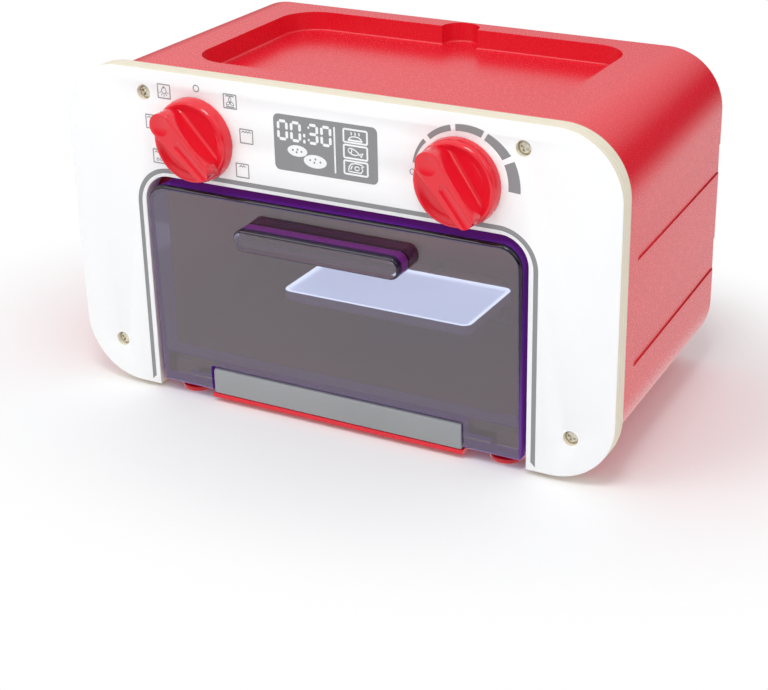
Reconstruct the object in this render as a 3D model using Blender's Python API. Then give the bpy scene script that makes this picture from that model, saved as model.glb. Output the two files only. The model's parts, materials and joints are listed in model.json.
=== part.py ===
"""Toy oven: plywood front, moulded red housing, drop-down window door, click-stop knobs and a lit shelf.

Metres, +Z up. Every piece is modelled from the lower edge of the plywood front: x is 0 in the middle,
y is 0 on the front of the plywood and grows into the oven, and z is 0 at the plywood's lower edge.
One empty then places them all, so that the origin is under the middle of the object, on the floor.
"""
from math import asin, atan2, cos, hypot, pi, radians, sin

import bmesh
import bpy
from mathutils import Vector

# Driving dimensions
PANEL_WIDTH = 0.320
PANEL_HEIGHT = 0.1836
PANEL_THICKNESS = 0.0109
PANEL_CORNER = 0.0347
OVEN_DEPTH = 0.170
FOOT_HEIGHT = 0.003
OPENING_SIDE = 0.0475
OPENING_DROP = 0.0579
OPENING_CORNER = 0.0155
KNOB_REACH = 0.0158
KNOB_DROP = 0.0343
KNOB_SIDE = 0.085
MODE_KNOB_SHIFT = 0.0026
SEAT_GAP = 0.0003
CUT_OVERRUN = 0.006

# Facets of round forms
CORNER_STEPS = 6
EDGE_STEPS = 3
RIM_STEPS = 2
ROUND_SIDES = 32
SMALL_SIDES = 16
BARE_SIDES = 10
SCREW_SIDES = 12

behind_panel = PANEL_THICKNESS + SEAT_GAP
half_panel = PANEL_WIDTH / 2
half_opening = half_panel - OPENING_SIDE
opening_top = PANEL_HEIGHT - OPENING_DROP
knob_height = PANEL_HEIGHT - KNOB_DROP
timer_x = half_panel - KNOB_SIDE
mode_x = -timer_x - MODE_KNOB_SHIFT

for old_object in list(bpy.data.objects):
    bpy.data.objects.remove(old_object, do_unlink=True)

oven_place = bpy.data.objects.new("oven_place", None)
bpy.context.scene.collection.objects.link(oven_place)
oven_place.location = (0, (KNOB_REACH - OVEN_DEPTH) / 2, FOOT_HEIGHT)


def finish(name, colour, roughness, metallic=0.0, transmission=0.0):
    """A Principled material from an sRGB colour."""
    material = bpy.data.materials.new(name)
    material.use_nodes = True
    shader = material.node_tree.nodes["Principled BSDF"]
    linear = [((part + 0.055) / 1.055) ** 2.4 if part > 0.04 else part / 12.92 for part in colour]
    shader.inputs["Base Color"].default_value = (*linear, 1.0)
    shader.inputs["Roughness"].default_value = roughness
    shader.inputs["Metallic"].default_value = metallic
    shader.inputs["Transmission Weight"].default_value = transmission
    material.diffuse_color = (*colour, 1.0)
    return material


def add_object(name, shape, parent=oven_place, place=(0, 0, 0)):
    """Put a bmesh into the scene as an object of flat triangles whose faces point out."""
    bmesh.ops.recalc_face_normals(shape, faces=shape.faces[:])
    bmesh.ops.triangulate(shape, faces=shape.faces[:])
    mesh = bpy.data.meshes.new(name)
    shape.to_mesh(mesh)
    shape.free()
    made = bpy.data.objects.new(name, mesh)
    bpy.context.scene.collection.objects.link(made)
    made.parent = parent
    made.location = place
    return made


def add_piece(name, shape, material, parent=oven_place, place=(0, 0, 0)):
    """A sub-part of the oven, with round faces shaded smooth."""
    made = add_object(name, shape, parent, place)
    made.data.materials.append(material)
    made.data.shade_smooth()
    made.data.set_sharp_from_angle(angle=radians(35))
    return made


def shape_with(target, operation, name, shape, place=None):
    """Cut or extend a piece with a hidden shape, by an exact Boolean that stays on the piece."""
    spot = target.location if place is None else place
    tool = add_object(target.name + "_" + name, shape, target.parent, spot)
    tool.hide_render = True
    tool.display_type = "WIRE"
    step = target.modifiers.new(name, "BOOLEAN")
    step.operation = operation
    step.solver = "EXACT"
    step.object = tool
    return tool


def rounded_outline(left, right, low, high, low_corner, high_corner, steps=CORNER_STEPS):
    """Points of a rectangle with round corners, in x and z, counter-clockwise from the lower right."""
    corners = (
        (right - low_corner, low + low_corner, low_corner, -pi / 2),
        (right - high_corner, high - high_corner, high_corner, 0),
        (left + high_corner, high - high_corner, high_corner, pi / 2),
        (left + low_corner, low + low_corner, low_corner, pi),
    )
    points = []
    for centre_x, centre_z, radius, start in corners:
        for step in range(steps + 1):
            turn = start + pi / 2 * step / steps
            points.append((centre_x + radius * cos(turn), centre_z + radius * sin(turn)))
    return points


def circle_outline(radius, sides, centre=(0, 0)):
    """Points of a circle in x and z."""
    turns = [2 * pi * side / sides for side in range(sides)]
    return [(centre[0] + radius * cos(turn), centre[1] + radius * sin(turn)) for turn in turns]


def loft(shape, rings):
    """Skin a row of rings that have as many points each, and close both ends."""
    rows = [[shape.verts.new(point) for point in ring] for ring in rings]
    for near, far in zip(rows, rows[1:]):
        for index, corner in enumerate(near):
            after = (index + 1) % len(near)
            shape.faces.new((corner, near[after], far[after], far[index]))
    shape.faces.new(rows[0])
    shape.faces.new(rows[-1][::-1])
    return shape


def along_y(outlines):
    """A solid through outlines in x and z, given with their depths y."""
    rings = [[(x, depth, z) for x, z in outline] for depth, outline in outlines]
    return loft(bmesh.new(), rings)


def block(left, right, front, back, low, high):
    """A plain block between six planes."""
    outline = [(right, low), (right, high), (left, high), (left, low)]
    return along_y([(front, outline), (back, outline)])


def turned(profile, sides, centre=(0, 0)):
    """A solid turned about a line along y, from (depth, radius) pairs."""
    return along_y([(depth, circle_outline(radius, sides, centre)) for depth, radius in profile])


def upright(profile, sides, centre):
    """A solid turned about a vertical line through centre (x, y), from (height, radius) pairs."""
    rings = []
    for height, radius in profile:
        ring = circle_outline(radius, sides, centre)
        rings.append([(x, y, height) for x, y in ring])
    return loft(bmesh.new(), rings)


def crosswise(profile, sides, centre):
    """A solid turned about a line along x through centre (y, z), from (place x, radius) pairs."""
    rings = []
    for place, radius in profile:
        ring = circle_outline(radius, sides, centre)
        rings.append([(place, y, z) for y, z in ring])
    return loft(bmesh.new(), rings)


def add_alike(name, shapes, material):
    """Like pieces, each its own numbered object."""
    return [add_piece(name + "_" + str(number + 1), shape, material) for number, shape in enumerate(shapes)]


# Screws, all with a pan head under which the shank starts
PANEL_SCREW_HEAD = 0.0034
PANEL_SCREW_HEAD_HEIGHT = 0.0016
PANEL_SCREW_SHANK = 0.0015
PANEL_SCREW_LENGTH = 0.024
SMALL_SCREW_HEAD = 0.0026
SMALL_SCREW_HEAD_HEIGHT = 0.0014
SMALL_SCREW_SHANK = 0.0010
SMALL_SCREW_LENGTH = 0.0075
SHELF_SCREW_LENGTH = 0.0046
COVER_SCREW_HEAD = 0.0024
COVER_SCREW_HEAD_HEIGHT = 0.0010
COVER_SCREW_LENGTH = 0.0070
WHEEL_SCREW_HEAD = 0.0050
WHEEL_SCREW_HEAD_HEIGHT = 0.0018
WHEEL_SCREW_SHANK = 0.0013
WHEEL_SCREW_LENGTH = 0.0090
HEAD_CROWN_SHARE = 0.72
HEAD_RIM_SHARE = 0.55
SCREW_TIP_SHARE = 0.35
PANEL_SCREW = (PANEL_SCREW_HEAD, PANEL_SCREW_HEAD_HEIGHT, PANEL_SCREW_SHANK, PANEL_SCREW_LENGTH)
SMALL_SCREW = (SMALL_SCREW_HEAD, SMALL_SCREW_HEAD_HEIGHT, SMALL_SCREW_SHANK, SMALL_SCREW_LENGTH)
SHELF_SCREW = (SMALL_SCREW_HEAD, SMALL_SCREW_HEAD_HEIGHT, SMALL_SCREW_SHANK, SHELF_SCREW_LENGTH)
COVER_SCREW = (COVER_SCREW_HEAD, COVER_SCREW_HEAD_HEIGHT, SMALL_SCREW_SHANK, COVER_SCREW_LENGTH)
WHEEL_SCREW = (WHEEL_SCREW_HEAD, WHEEL_SCREW_HEAD_HEIGHT, WHEEL_SCREW_SHANK, WHEEL_SCREW_LENGTH)


def screw_along_y(kind, seat, way, centre):
    """A screw whose head rests at depth seat and whose shank runs in direction way, +1 or -1."""
    head, height, shank, length = kind
    profile = [
        (seat - way * height, head * HEAD_CROWN_SHARE),
        (seat - way * height * HEAD_RIM_SHARE, head),
        (seat, head),
        (seat, shank),
        (seat + way * (length - shank), shank),
        (seat + way * length, shank * SCREW_TIP_SHARE),
    ]
    return turned(profile, SCREW_SIDES, centre)


def pilot_along_y(kind, start, way, centre):
    """A cutter for the hole that a screw's shank enters from depth start."""
    head, height, shank, length = kind
    radius = shank + SEAT_GAP
    profile = [(start - way * CUT_OVERRUN, radius), (start + way * length, radius)]
    return turned(profile, BARE_SIDES, centre)


# Finishes
red_plastic = finish("red_plastic", (0.89, 0.12, 0.15), 0.35)
white_laminate = finish("white_laminate", (0.96, 0.96, 0.95), 0.4)
smoked_violet = finish("smoked_violet", (0.30, 0.16, 0.36), 0.08, transmission=0.6)
grey_plastic = finish("grey_plastic", (0.66, 0.67, 0.68), 0.4)
dark_red_plastic = finish("dark_red_plastic", (0.62, 0.08, 0.11), 0.4)
milky_plastic = finish("milky_plastic", (0.88, 0.90, 0.97), 0.35, transmission=0.2)
white_plastic = finish("white_plastic", (0.90, 0.90, 0.89), 0.45)
black_plastic = finish("black_plastic", (0.07, 0.07, 0.08), 0.45)
nickel_steel = finish("nickel_steel", (0.72, 0.69, 0.62), 0.3, metallic=1.0)
board_green = finish("board_green", (0.12, 0.36, 0.20), 0.5)
cell_jacket = finish("cell_jacket", (0.20, 0.22, 0.26), 0.35)
wire_jacket = finish("wire_jacket", (0.75, 0.10, 0.10), 0.5)

# Hinge line of the door and the grey bar that carries it
HINGE_DEPTH = 0.0044
HINGE_HEIGHT = 0.0098
HINGE_BARREL = 0.0062
HINGE_PIN_RADIUS = 0.0020
HINGE_PIN_LENGTH = 0.030
BAR_SIDE = 0.0365
BAR_TOP = 0.0177
BAR_EDGE = 0.0030
SILL_MARGIN = 0.0010
SILL_THICKNESS = 0.0024
SILL_BACK = 0.026
half_bar = half_opening - BAR_SIDE
half_sill = half_bar + SILL_MARGIN
bar_low = SILL_THICKNESS + SEAT_GAP
bar_back = PANEL_THICKNESS - SEAT_GAP

# Housing: one moulding, open to the front, that narrows towards the back
HOUSING_EDGE_STEP = 0.0010
HOUSING_TOP_STEP = 0.0030
HOUSING_LOW = 0.0040
HOUSING_CORNER = 0.0380
HOUSING_WALL = 0.0026
HOUSING_SIDE_TAPER = 0.0078
HOUSING_TOP_TAPER = 0.0007
HOUSING_REAR_CORNER = 0.0320
HOUSING_REAR_EDGE = 0.0050
housing_top = PANEL_HEIGHT - HOUSING_TOP_STEP


def housing_outline(depth, inset):
    """The housing's cross-section at a depth, drawn in by inset."""
    share = (depth - behind_panel) / (OVEN_DEPTH - behind_panel)
    half = half_panel - HOUSING_EDGE_STEP - HOUSING_SIDE_TAPER * share - inset
    high = housing_top - HOUSING_TOP_TAPER * share - inset
    corner = HOUSING_CORNER + (HOUSING_REAR_CORNER - HOUSING_CORNER) * share - inset
    return rounded_outline(-half, half, HOUSING_LOW + inset, high, corner, corner, CORNER_STEPS + 2)


def housing_side(depth):
    """Half the housing's width at a depth."""
    share = (depth - behind_panel) / (OVEN_DEPTH - behind_panel)
    return half_panel - HOUSING_EDGE_STEP - HOUSING_SIDE_TAPER * share


def housing_solid(start, end, inset, edge):
    """The housing's outer or inner form, with its rear edge rounded."""
    outlines = [(start, housing_outline(start, inset))]
    for step in range(EDGE_STEPS + 1):
        turn = pi / 2 * step / EDGE_STEPS
        depth = end - edge + edge * sin(turn)
        outlines.append((depth, housing_outline(depth, inset + edge * (1 - cos(turn)))))
    return along_y(outlines)


housing = add_piece(
    "housing", housing_solid(behind_panel, OVEN_DEPTH, 0, HOUSING_REAR_EDGE), red_plastic
)

# Tray recess in the top, with a finger notch at the back
RECESS_SIDE = 0.0553
RECESS_FRONT = 0.0350
RECESS_REAR = 0.0168
RECESS_CORNER = 0.0210
RECESS_DEPTH = 0.0118
RECESS_FOOT_EDGE = 0.0020
RECESS_LIP = 0.0016
NOTCH_HALF_WIDTH = 0.0112
NOTCH_REACH = 0.0113
NOTCH_CORNER = 0.0108
RECESS_WALL = 0.0024
half_recess = half_panel - RECESS_SIDE
recess_back = OVEN_DEPTH - RECESS_REAR
recess_floor = housing_top - RECESS_DEPTH
notch_start = recess_back - NOTCH_HALF_WIDTH
notch_back = recess_back + NOTCH_REACH


def pocket(half, front, back, corner, floor, floor_edge, lip, high):
    """A sunk pocket seen from above: flared lip, upright walls, rounded foot."""
    stations = []
    for step in range(EDGE_STEPS + 1):
        turn = pi / 2 * step / EDGE_STEPS
        stations.append((floor + floor_edge * (1 - cos(turn)), floor_edge * (sin(turn) - 1)))
    for step in range(EDGE_STEPS + 1):
        turn = pi / 2 * step / EDGE_STEPS
        stations.append((high - lip + lip * sin(turn), lip * (1 - cos(turn))))
    stations.append((high + CUT_OVERRUN, lip))
    rings = []
    for height, grow in stations:
        round_by = corner + grow
        ring = rounded_outline(-half - grow, half + grow, front - grow, back + grow, round_by, round_by)
        rings.append([(x, y, height) for x, y in ring])
    return loft(bmesh.new(), rings)


def recess_block(half, front, back, corner, wall):
    """The walls and floor round a pocket, as a solid that is kept out of the housing's inside."""
    round_by = corner + wall
    ring = rounded_outline(-half - wall, half + wall, front - wall, back + wall, round_by, round_by)
    low = recess_floor - wall
    high = housing_top + CUT_OVERRUN
    return loft(bmesh.new(), [[(x, y, low) for x, y in ring], [(x, y, high) for x, y in ring]])


# Louvre grooves along both sides: each slopes in downwards and steps out again
UPPER_GROOVE_DROP = 0.0516
UPPER_GROOVE_HEIGHT = 0.0165
LOWER_GROOVE_DROP = 0.1063
LOWER_GROOVE_HEIGHT = 0.0186
GROOVE_DEPTH = 0.0020
GROOVE_START = 0.0270
GROOVE_OVERRUN = 0.0010
grooves = [
    (housing_top - UPPER_GROOVE_DROP, UPPER_GROOVE_HEIGHT),
    (housing_top - LOWER_GROOVE_DROP, LOWER_GROOVE_HEIGHT),
]


def groove(side, high, height, inward, foot, start):
    """A wedge along one side of the housing: flush at its top, deepest at its foot.

    The same wedge moved inward by the wall, with a foot below it, is the strip of wall behind a groove.
    """
    rings = []
    low = high - height
    slope = height / GROOVE_DEPTH
    for depth in (start, OVEN_DEPTH + CUT_OVERRUN):
        surface = housing_side(depth)
        outline = [
            (surface + GROOVE_OVERRUN, low - foot),
            (surface + GROOVE_OVERRUN, high + (GROOVE_OVERRUN + inward) * slope),
            (surface - inward - GROOVE_DEPTH, low),
        ]
        if foot:
            outline.append((surface - inward - GROOVE_DEPTH, low - foot))
        rings.append([(side * x, depth, z) for x, z in outline])
    return loft(bmesh.new(), rings)


inside_end = OVEN_DEPTH - HOUSING_WALL
inside_edge = HOUSING_REAR_EDGE - HOUSING_WALL
housing_inside = shape_with(
    housing,
    "DIFFERENCE",
    "inside",
    housing_solid(behind_panel - CUT_OVERRUN, inside_end, HOUSING_WALL, inside_edge),
)
shape_with(
    housing_inside,
    "DIFFERENCE",
    "recess_walls",
    recess_block(half_recess, RECESS_FRONT, recess_back, RECESS_CORNER, RECESS_WALL),
)
shape_with(
    housing_inside,
    "DIFFERENCE",
    "notch_walls",
    recess_block(NOTCH_HALF_WIDTH, notch_start, notch_back, NOTCH_CORNER, RECESS_WALL),
)
for side in (-1, 1):
    for number, (high, height) in enumerate(grooves):
        label = ("left" if side < 0 else "right") + str(number)
        backing = groove(side, high, height, HOUSING_WALL, HOUSING_WALL, GROOVE_START - HOUSING_WALL)
        shape_with(housing_inside, "DIFFERENCE", "groove_wall_" + label, backing)
        wedge = groove(side, high, height, 0, 0, GROOVE_START)
        shape_with(housing, "DIFFERENCE", "groove_" + label, wedge)
shape_with(
    housing,
    "DIFFERENCE",
    "recess",
    pocket(half_recess, RECESS_FRONT, recess_back, RECESS_CORNER, recess_floor,
           RECESS_FOOT_EDGE, RECESS_LIP, housing_top - HOUSING_TOP_TAPER / 2),
)
shape_with(
    housing,
    "DIFFERENCE",
    "finger_notch",
    pocket(NOTCH_HALF_WIDTH, notch_start, notch_back, NOTCH_CORNER, recess_floor,
           RECESS_FOOT_EDGE, RECESS_LIP, housing_top - HOUSING_TOP_TAPER),
)

# Sill under the grey bar, in one with the housing
sill_top = HOUSING_LOW + HOUSING_WALL / 2
sill_outline = [
    (0, 0),
    (SILL_BACK, 0),
    (SILL_BACK, sill_top),
    (PANEL_THICKNESS, sill_top),
    (PANEL_THICKNESS, SILL_THICKNESS),
    (0, SILL_THICKNESS),
]
sill = loft(bmesh.new(), [[(x, y, z) for y, z in sill_outline] for x in (-half_sill, half_sill)])
shape_with(housing, "UNION", "sill", sill)

# Feet: round pads pegged into bosses under the housing
FOOT_RADIUS = 0.0092
FOOT_PEG_RADIUS = 0.0020
FOOT_PEG_LENGTH = 0.0040
FOOT_EDGE = 0.0008
FOOT_SIDES = 12
FRONT_FOOT_DEPTH = 0.0144
REAR_FOOT_INSET = 0.0220
OUTER_FOOT_INSET = 0.0165
INNER_FOOT_INSET = 0.0275
outer_foot = half_opening - OUTER_FOOT_INSET
inner_foot = half_bar - INNER_FOOT_INSET
rear_foot_depth = OVEN_DEPTH - REAR_FOOT_INSET
foot_places = [
    (-outer_foot, FRONT_FOOT_DEPTH),
    (-inner_foot, FRONT_FOOT_DEPTH),
    (inner_foot, FRONT_FOOT_DEPTH),
    (outer_foot, FRONT_FOOT_DEPTH),
    (-outer_foot, rear_foot_depth),
    (outer_foot, rear_foot_depth),
]
foot_top = -SEAT_GAP
peg_top = foot_top + FOOT_PEG_LENGTH


def foot(place):
    """One pad with its peg."""
    profile = [
        (-FOOT_HEIGHT, FOOT_RADIUS - FOOT_EDGE),
        (-FOOT_HEIGHT + FOOT_EDGE, FOOT_RADIUS),
        (foot_top, FOOT_RADIUS),
        (foot_top, FOOT_PEG_RADIUS),
        (peg_top, FOOT_PEG_RADIUS),
    ]
    return upright(profile, FOOT_SIDES, place)


add_alike("foot", [foot(place) for place in foot_places], red_plastic)
boss_top = HOUSING_LOW + HOUSING_WALL / 2
for number, (x, y) in enumerate(foot_places):
    if abs(x) > half_sill:
        boss = upright([(0, FOOT_RADIUS), (boss_top, FOOT_RADIUS)], FOOT_SIDES, (x, y))
        boss_tool = shape_with(housing, "UNION", "foot_boss" + str(number), boss)
        front_trim = block(
            x - FOOT_RADIUS - CUT_OVERRUN, x + FOOT_RADIUS + CUT_OVERRUN,
            -CUT_OVERRUN, behind_panel + SEAT_GAP, -CUT_OVERRUN, HOUSING_LOW + CUT_OVERRUN
        )
        shape_with(boss_tool, "DIFFERENCE", "front", front_trim)
for number, place in enumerate(foot_places):
    peg_radius = FOOT_PEG_RADIUS + SEAT_GAP
    peg_hole = upright([(-CUT_OVERRUN, peg_radius), (peg_top + SEAT_GAP, peg_radius)], BARE_SIDES, place)
    shape_with(housing, "DIFFERENCE", "foot_hole" + str(number), peg_hole)

# Bosses in the housing for the four screws of the front
UPPER_SCREW_SIDE = 0.0511
UPPER_SCREW_DROP = 0.0128
LOWER_SCREW_SIDE = 0.0234
LOWER_SCREW_HEIGHT = 0.0233
BOSS_RADIUS = 0.0042
BOSS_LENGTH = 0.020
BOSS_RIB = 0.0020
COUNTERBORE_RADIUS = 0.0040
COUNTERBORE_DEPTH = 0.0040
upper_screw_x = half_panel - UPPER_SCREW_SIDE
upper_screw_height = PANEL_HEIGHT - UPPER_SCREW_DROP
lower_screw_x = half_panel - LOWER_SCREW_SIDE
panel_screw_places = [
    (-upper_screw_x, upper_screw_height),
    (upper_screw_x, upper_screw_height),
    (-lower_screw_x, LOWER_SCREW_HEIGHT),
    (lower_screw_x, LOWER_SCREW_HEIGHT),
]


def boss_rib(x, z):
    """A rib from a screw boss out to the middle of the housing's wall."""
    if z > PANEL_HEIGHT / 2:
        turn = pi / 2
        reach = housing_top - HOUSING_WALL / 2 - z
    else:
        side = 1 if x > 0 else -1
        corner_x = side * (housing_side(behind_panel) - HOUSING_CORNER)
        corner_z = HOUSING_LOW + HOUSING_CORNER
        turn = atan2(z - corner_z, x - corner_x)
        reach = HOUSING_CORNER - HOUSING_WALL / 2 - hypot(x - corner_x, z - corner_z)
    half = BOSS_RIB / 2
    outline = []
    for out, across in ((0, -half), (reach, -half), (reach, half), (0, half)):
        rib_x = x + out * cos(turn) - across * sin(turn)
        rib_z = z + out * sin(turn) + across * cos(turn)
        outline.append((rib_x, rib_z))
    rib_end = behind_panel + BOSS_LENGTH - BOSS_RIB / 2
    return along_y([(behind_panel + BOSS_RIB, outline), (rib_end, outline)])


for number, place in enumerate(panel_screw_places):
    boss_profile = [(behind_panel, BOSS_RADIUS), (behind_panel + BOSS_LENGTH, BOSS_RADIUS)]
    boss = turned(boss_profile, SMALL_SIDES, place)
    shape_with(housing, "UNION", "screw_rib" + str(number), boss_rib(*place))
    shape_with(housing, "UNION", "screw_boss" + str(number), boss)
    pilot = pilot_along_y(PANEL_SCREW, COUNTERBORE_DEPTH, 1, place)
    shape_with(housing, "DIFFERENCE", "screw_hole" + str(number), pilot)

# Plywood front, with the arched opening, counterbores, knob holes and pilot holes
PANEL_EDGE = 0.0007


def panel_outline(inset):
    """The front's outline, drawn in by inset."""
    return rounded_outline(
        -half_panel + inset, half_panel - inset, inset, PANEL_HEIGHT - inset,
        PANEL_CORNER - inset, PANEL_CORNER - inset, CORNER_STEPS + 2
    )


front_panel = add_piece(
    "front_panel",
    along_y([
        (0, panel_outline(PANEL_EDGE)),
        (PANEL_EDGE, panel_outline(0)),
        (PANEL_THICKNESS - PANEL_EDGE, panel_outline(0)),
        (PANEL_THICKNESS, panel_outline(PANEL_EDGE)),
    ]),
    white_laminate,
)
opening_outline = rounded_outline(
    -half_opening, half_opening, -CUT_OVERRUN, opening_top, CUT_OVERRUN / 2, OPENING_CORNER
)
opening = along_y([(-CUT_OVERRUN, opening_outline), (PANEL_THICKNESS + CUT_OVERRUN, opening_outline)])
shape_with(front_panel, "DIFFERENCE", "opening", opening)
screw_seat = COUNTERBORE_DEPTH - SEAT_GAP
for number, place in enumerate(panel_screw_places):
    sunk_profile = [(-CUT_OVERRUN, COUNTERBORE_RADIUS), (COUNTERBORE_DEPTH, COUNTERBORE_RADIUS)]
    sunk = turned(sunk_profile, SMALL_SIDES, place)
    shape_with(front_panel, "DIFFERENCE", "counterbore" + str(number), sunk)
    pilot = pilot_along_y(PANEL_SCREW, COUNTERBORE_DEPTH, 1, place)
    shape_with(front_panel, "DIFFERENCE", "screw_way" + str(number), pilot)
panel_screws = [screw_along_y(PANEL_SCREW, screw_seat, 1, place) for place in panel_screw_places]
add_alike("panel_screw", panel_screws, nickel_steel)

# Grey bar on the sill, with a bore in each end for a hinge pin
bar_outline = [(0, bar_low), (bar_back, bar_low), (bar_back, BAR_TOP)]
for step in range(EDGE_STEPS + 2):
    turn = pi / 2 * step / (EDGE_STEPS + 1)
    bar_outline.append((BAR_EDGE - BAR_EDGE * sin(turn), BAR_TOP - BAR_EDGE + BAR_EDGE * cos(turn)))
bar_rings = [[(x, y, z) for y, z in bar_outline] for x in (-half_bar, half_bar)]
hinge_bar = add_piece("hinge_bar", loft(bmesh.new(), bar_rings), grey_plastic)

HINGE_PIN_INSERT = 0.014
pin_start = half_bar - HINGE_PIN_INSERT
pin_end = pin_start + HINGE_PIN_LENGTH
hinge_line = (HINGE_DEPTH, HINGE_HEIGHT)
pins = []
for side, label in ((-1, "left"), (1, "right")):
    hole = [(side * (pin_start - SEAT_GAP), HINGE_PIN_RADIUS + SEAT_GAP),
            (side * (half_bar + CUT_OVERRUN), HINGE_PIN_RADIUS + SEAT_GAP)]
    shape_with(hinge_bar, "DIFFERENCE", "pin_hole_" + label, crosswise(hole, SMALL_SIDES, hinge_line))
    pin = [(side * pin_start, HINGE_PIN_RADIUS), (side * pin_end, HINGE_PIN_RADIUS)]
    pins.append(crosswise(pin, SMALL_SIDES, hinge_line))
add_alike("hinge_pin", pins, nickel_steel)

# Door: a smoked window pan hollowed from behind, with its handle, turning on two legs beside the bar
DOOR_SIDE_GAP = 0.0026
DOOR_TOP_GAP = 0.0042
DOOR_CORNER = 0.0120
DOOR_EDGE = 0.0018
DOOR_LEAN = 0.0300
DOOR_PLATE = 0.0030
DOOR_WALL = 0.0028
DOOR_BACK = 0.0130
DOOR_NOTCH_GAP = 0.0014
DOOR_NOTCH_CORNER = 0.0020
DOOR_RAIL = 0.0032
HANDLE_SIDE = 0.0612
HANDLE_DROP = 0.0123
HANDLE_HEIGHT = 0.0122
HANDLE_REACH = 0.0145
HANDLE_CORNER = 0.0055
HANDLE_EDGE = 0.0014
HANDLE_WALL = 0.0026
half_door = half_opening - DOOR_SIDE_GAP
door_top = opening_top - DOOR_TOP_GAP
half_handle = half_door - HANDLE_SIDE
handle_high = door_top - HANDLE_DROP
handle_low = handle_high - HANDLE_HEIGHT
door_low = HINGE_HEIGHT - HINGE_BARREL
leg_back = HINGE_DEPTH + HINGE_BARREL
notch_half = half_bar + DOOR_NOTCH_GAP
notch_top = BAR_TOP + DOOR_NOTCH_GAP
pocket_low = notch_top + DOOR_RAIL


def door_lean(depth, height):
    """The window leans out a little towards its top: the depth of a point of its front."""
    return depth - DOOR_LEAN * max(0, height - HINGE_HEIGHT)


def door_outline(inset):
    """The window's outline, drawn in by inset."""
    return rounded_outline(
        -half_door + inset, half_door - inset, door_low + inset, door_top - inset,
        DOOR_EDGE, DOOR_CORNER - inset
    )


def leaning(outlines):
    """A solid through outlines whose front ones lean with the window."""
    rings = []
    for depth, outline, leans in outlines:
        rings.append([(x, door_lean(depth, z) if leans else depth, z) for x, z in outline])
    return loft(bmesh.new(), rings)


door_stations = []
for step in range(EDGE_STEPS + 1):
    turn = pi / 2 * step / EDGE_STEPS
    door_stations.append((DOOR_EDGE * (1 - cos(turn)), door_outline(DOOR_EDGE * (1 - sin(turn))), True))
door_stations.append((DOOR_BACK, door_outline(0), False))
door = add_piece("door", leaning(door_stations), smoked_violet)

handle_stations = []
for step in range(EDGE_STEPS + 1):
    turn = pi / 2 * step / EDGE_STEPS
    inset = HANDLE_EDGE * (1 - sin(turn))
    outline = rounded_outline(
        -half_handle + inset, half_handle - inset, handle_low + inset, handle_high - inset,
        HANDLE_CORNER - inset, HANDLE_CORNER - inset
    )
    handle_stations.append((-HANDLE_REACH + HANDLE_EDGE * (1 - cos(turn)), outline))
handle_stations.append((DOOR_PLATE / 2, outline))
shape_with(door, "UNION", "handle", along_y(handle_stations))

pocket_outline = rounded_outline(
    -half_door + DOOR_WALL, half_door - DOOR_WALL, pocket_low, door_top - DOOR_WALL,
    DOOR_EDGE, DOOR_CORNER - DOOR_WALL
)
pan = leaning([(DOOR_PLATE, pocket_outline, True), (DOOR_BACK + CUT_OVERRUN, pocket_outline, False)])
shape_with(door, "DIFFERENCE", "pan", pan)
core_outline = rounded_outline(
    -half_handle + HANDLE_WALL, half_handle - HANDLE_WALL,
    handle_low + HANDLE_WALL, handle_high - HANDLE_WALL,
    HANDLE_CORNER - HANDLE_WALL, HANDLE_CORNER - HANDLE_WALL
)
core = along_y([(-HANDLE_REACH + HANDLE_WALL, core_outline), (DOOR_PLATE + CUT_OVERRUN / 2, core_outline)])
shape_with(door, "DIFFERENCE", "handle_core", core)
notch_outline = rounded_outline(
    -notch_half, notch_half, -CUT_OVERRUN, notch_top, DOOR_NOTCH_CORNER, DOOR_NOTCH_CORNER
)
notch = along_y([(-CUT_OVERRUN, notch_outline), (DOOR_BACK + CUT_OVERRUN, notch_outline)])
shape_with(door, "DIFFERENCE", "bar_notch", notch)

# Behind each leg the door is rounded about the hinge, so that it clears the housing as it falls open
leg_round = []
for step in range(CORNER_STEPS + 1):
    turn = -pi / 2 * step / CORNER_STEPS
    leg_round.append((HINGE_DEPTH + HINGE_BARREL * cos(turn), HINGE_HEIGHT + HINGE_BARREL * sin(turn)))
leg_trim_outline = [
    (DOOR_BACK + CUT_OVERRUN, notch_top),
    (leg_back, notch_top),
    *leg_round,
    (HINGE_DEPTH, -CUT_OVERRUN),
    (DOOR_BACK + CUT_OVERRUN, -CUT_OVERRUN),
]
trim_half = half_door + CUT_OVERRUN
leg_trim = loft(bmesh.new(), [[(x, y, z) for y, z in leg_trim_outline] for x in (-trim_half, trim_half)])
shape_with(door, "DIFFERENCE", "leg_trim", leg_trim)
for side, label in ((-1, "left"), (1, "right")):
    hole = [(side * (notch_half - CUT_OVERRUN), HINGE_PIN_RADIUS + SEAT_GAP),
            (side * (pin_end + SEAT_GAP), HINGE_PIN_RADIUS + SEAT_GAP)]
    shape_with(door, "DIFFERENCE", "pin_hole_" + label, crosswise(hole, SMALL_SIDES, hinge_line))

# Oven box behind the door: a rebated mouth, a deep box and a flange screwed behind the plywood
LINER_WALL = 0.0020
LINER_FLANGE = 0.0090
LINER_FLANGE_THICKNESS = 0.0020
LINER_REBATE = 0.0055
LINER_FLOOR = 0.0160
LINER_TOP_STEP = 0.0067
LINER_REAR_GAP = 0.0400
LINER_CORNER = 0.0080
liner_ceiling = opening_top - LINER_TOP_STEP
liner_back = OVEN_DEPTH - LINER_REAR_GAP
mouth_end = DOOR_BACK + SEAT_GAP
mouth_low = LINER_FLOOR
cavity_half = half_opening - LINER_REBATE
flange_low = HOUSING_LOW + HOUSING_WALL + SEAT_GAP
flange_back = behind_panel + LINER_FLANGE_THICKNESS

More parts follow.
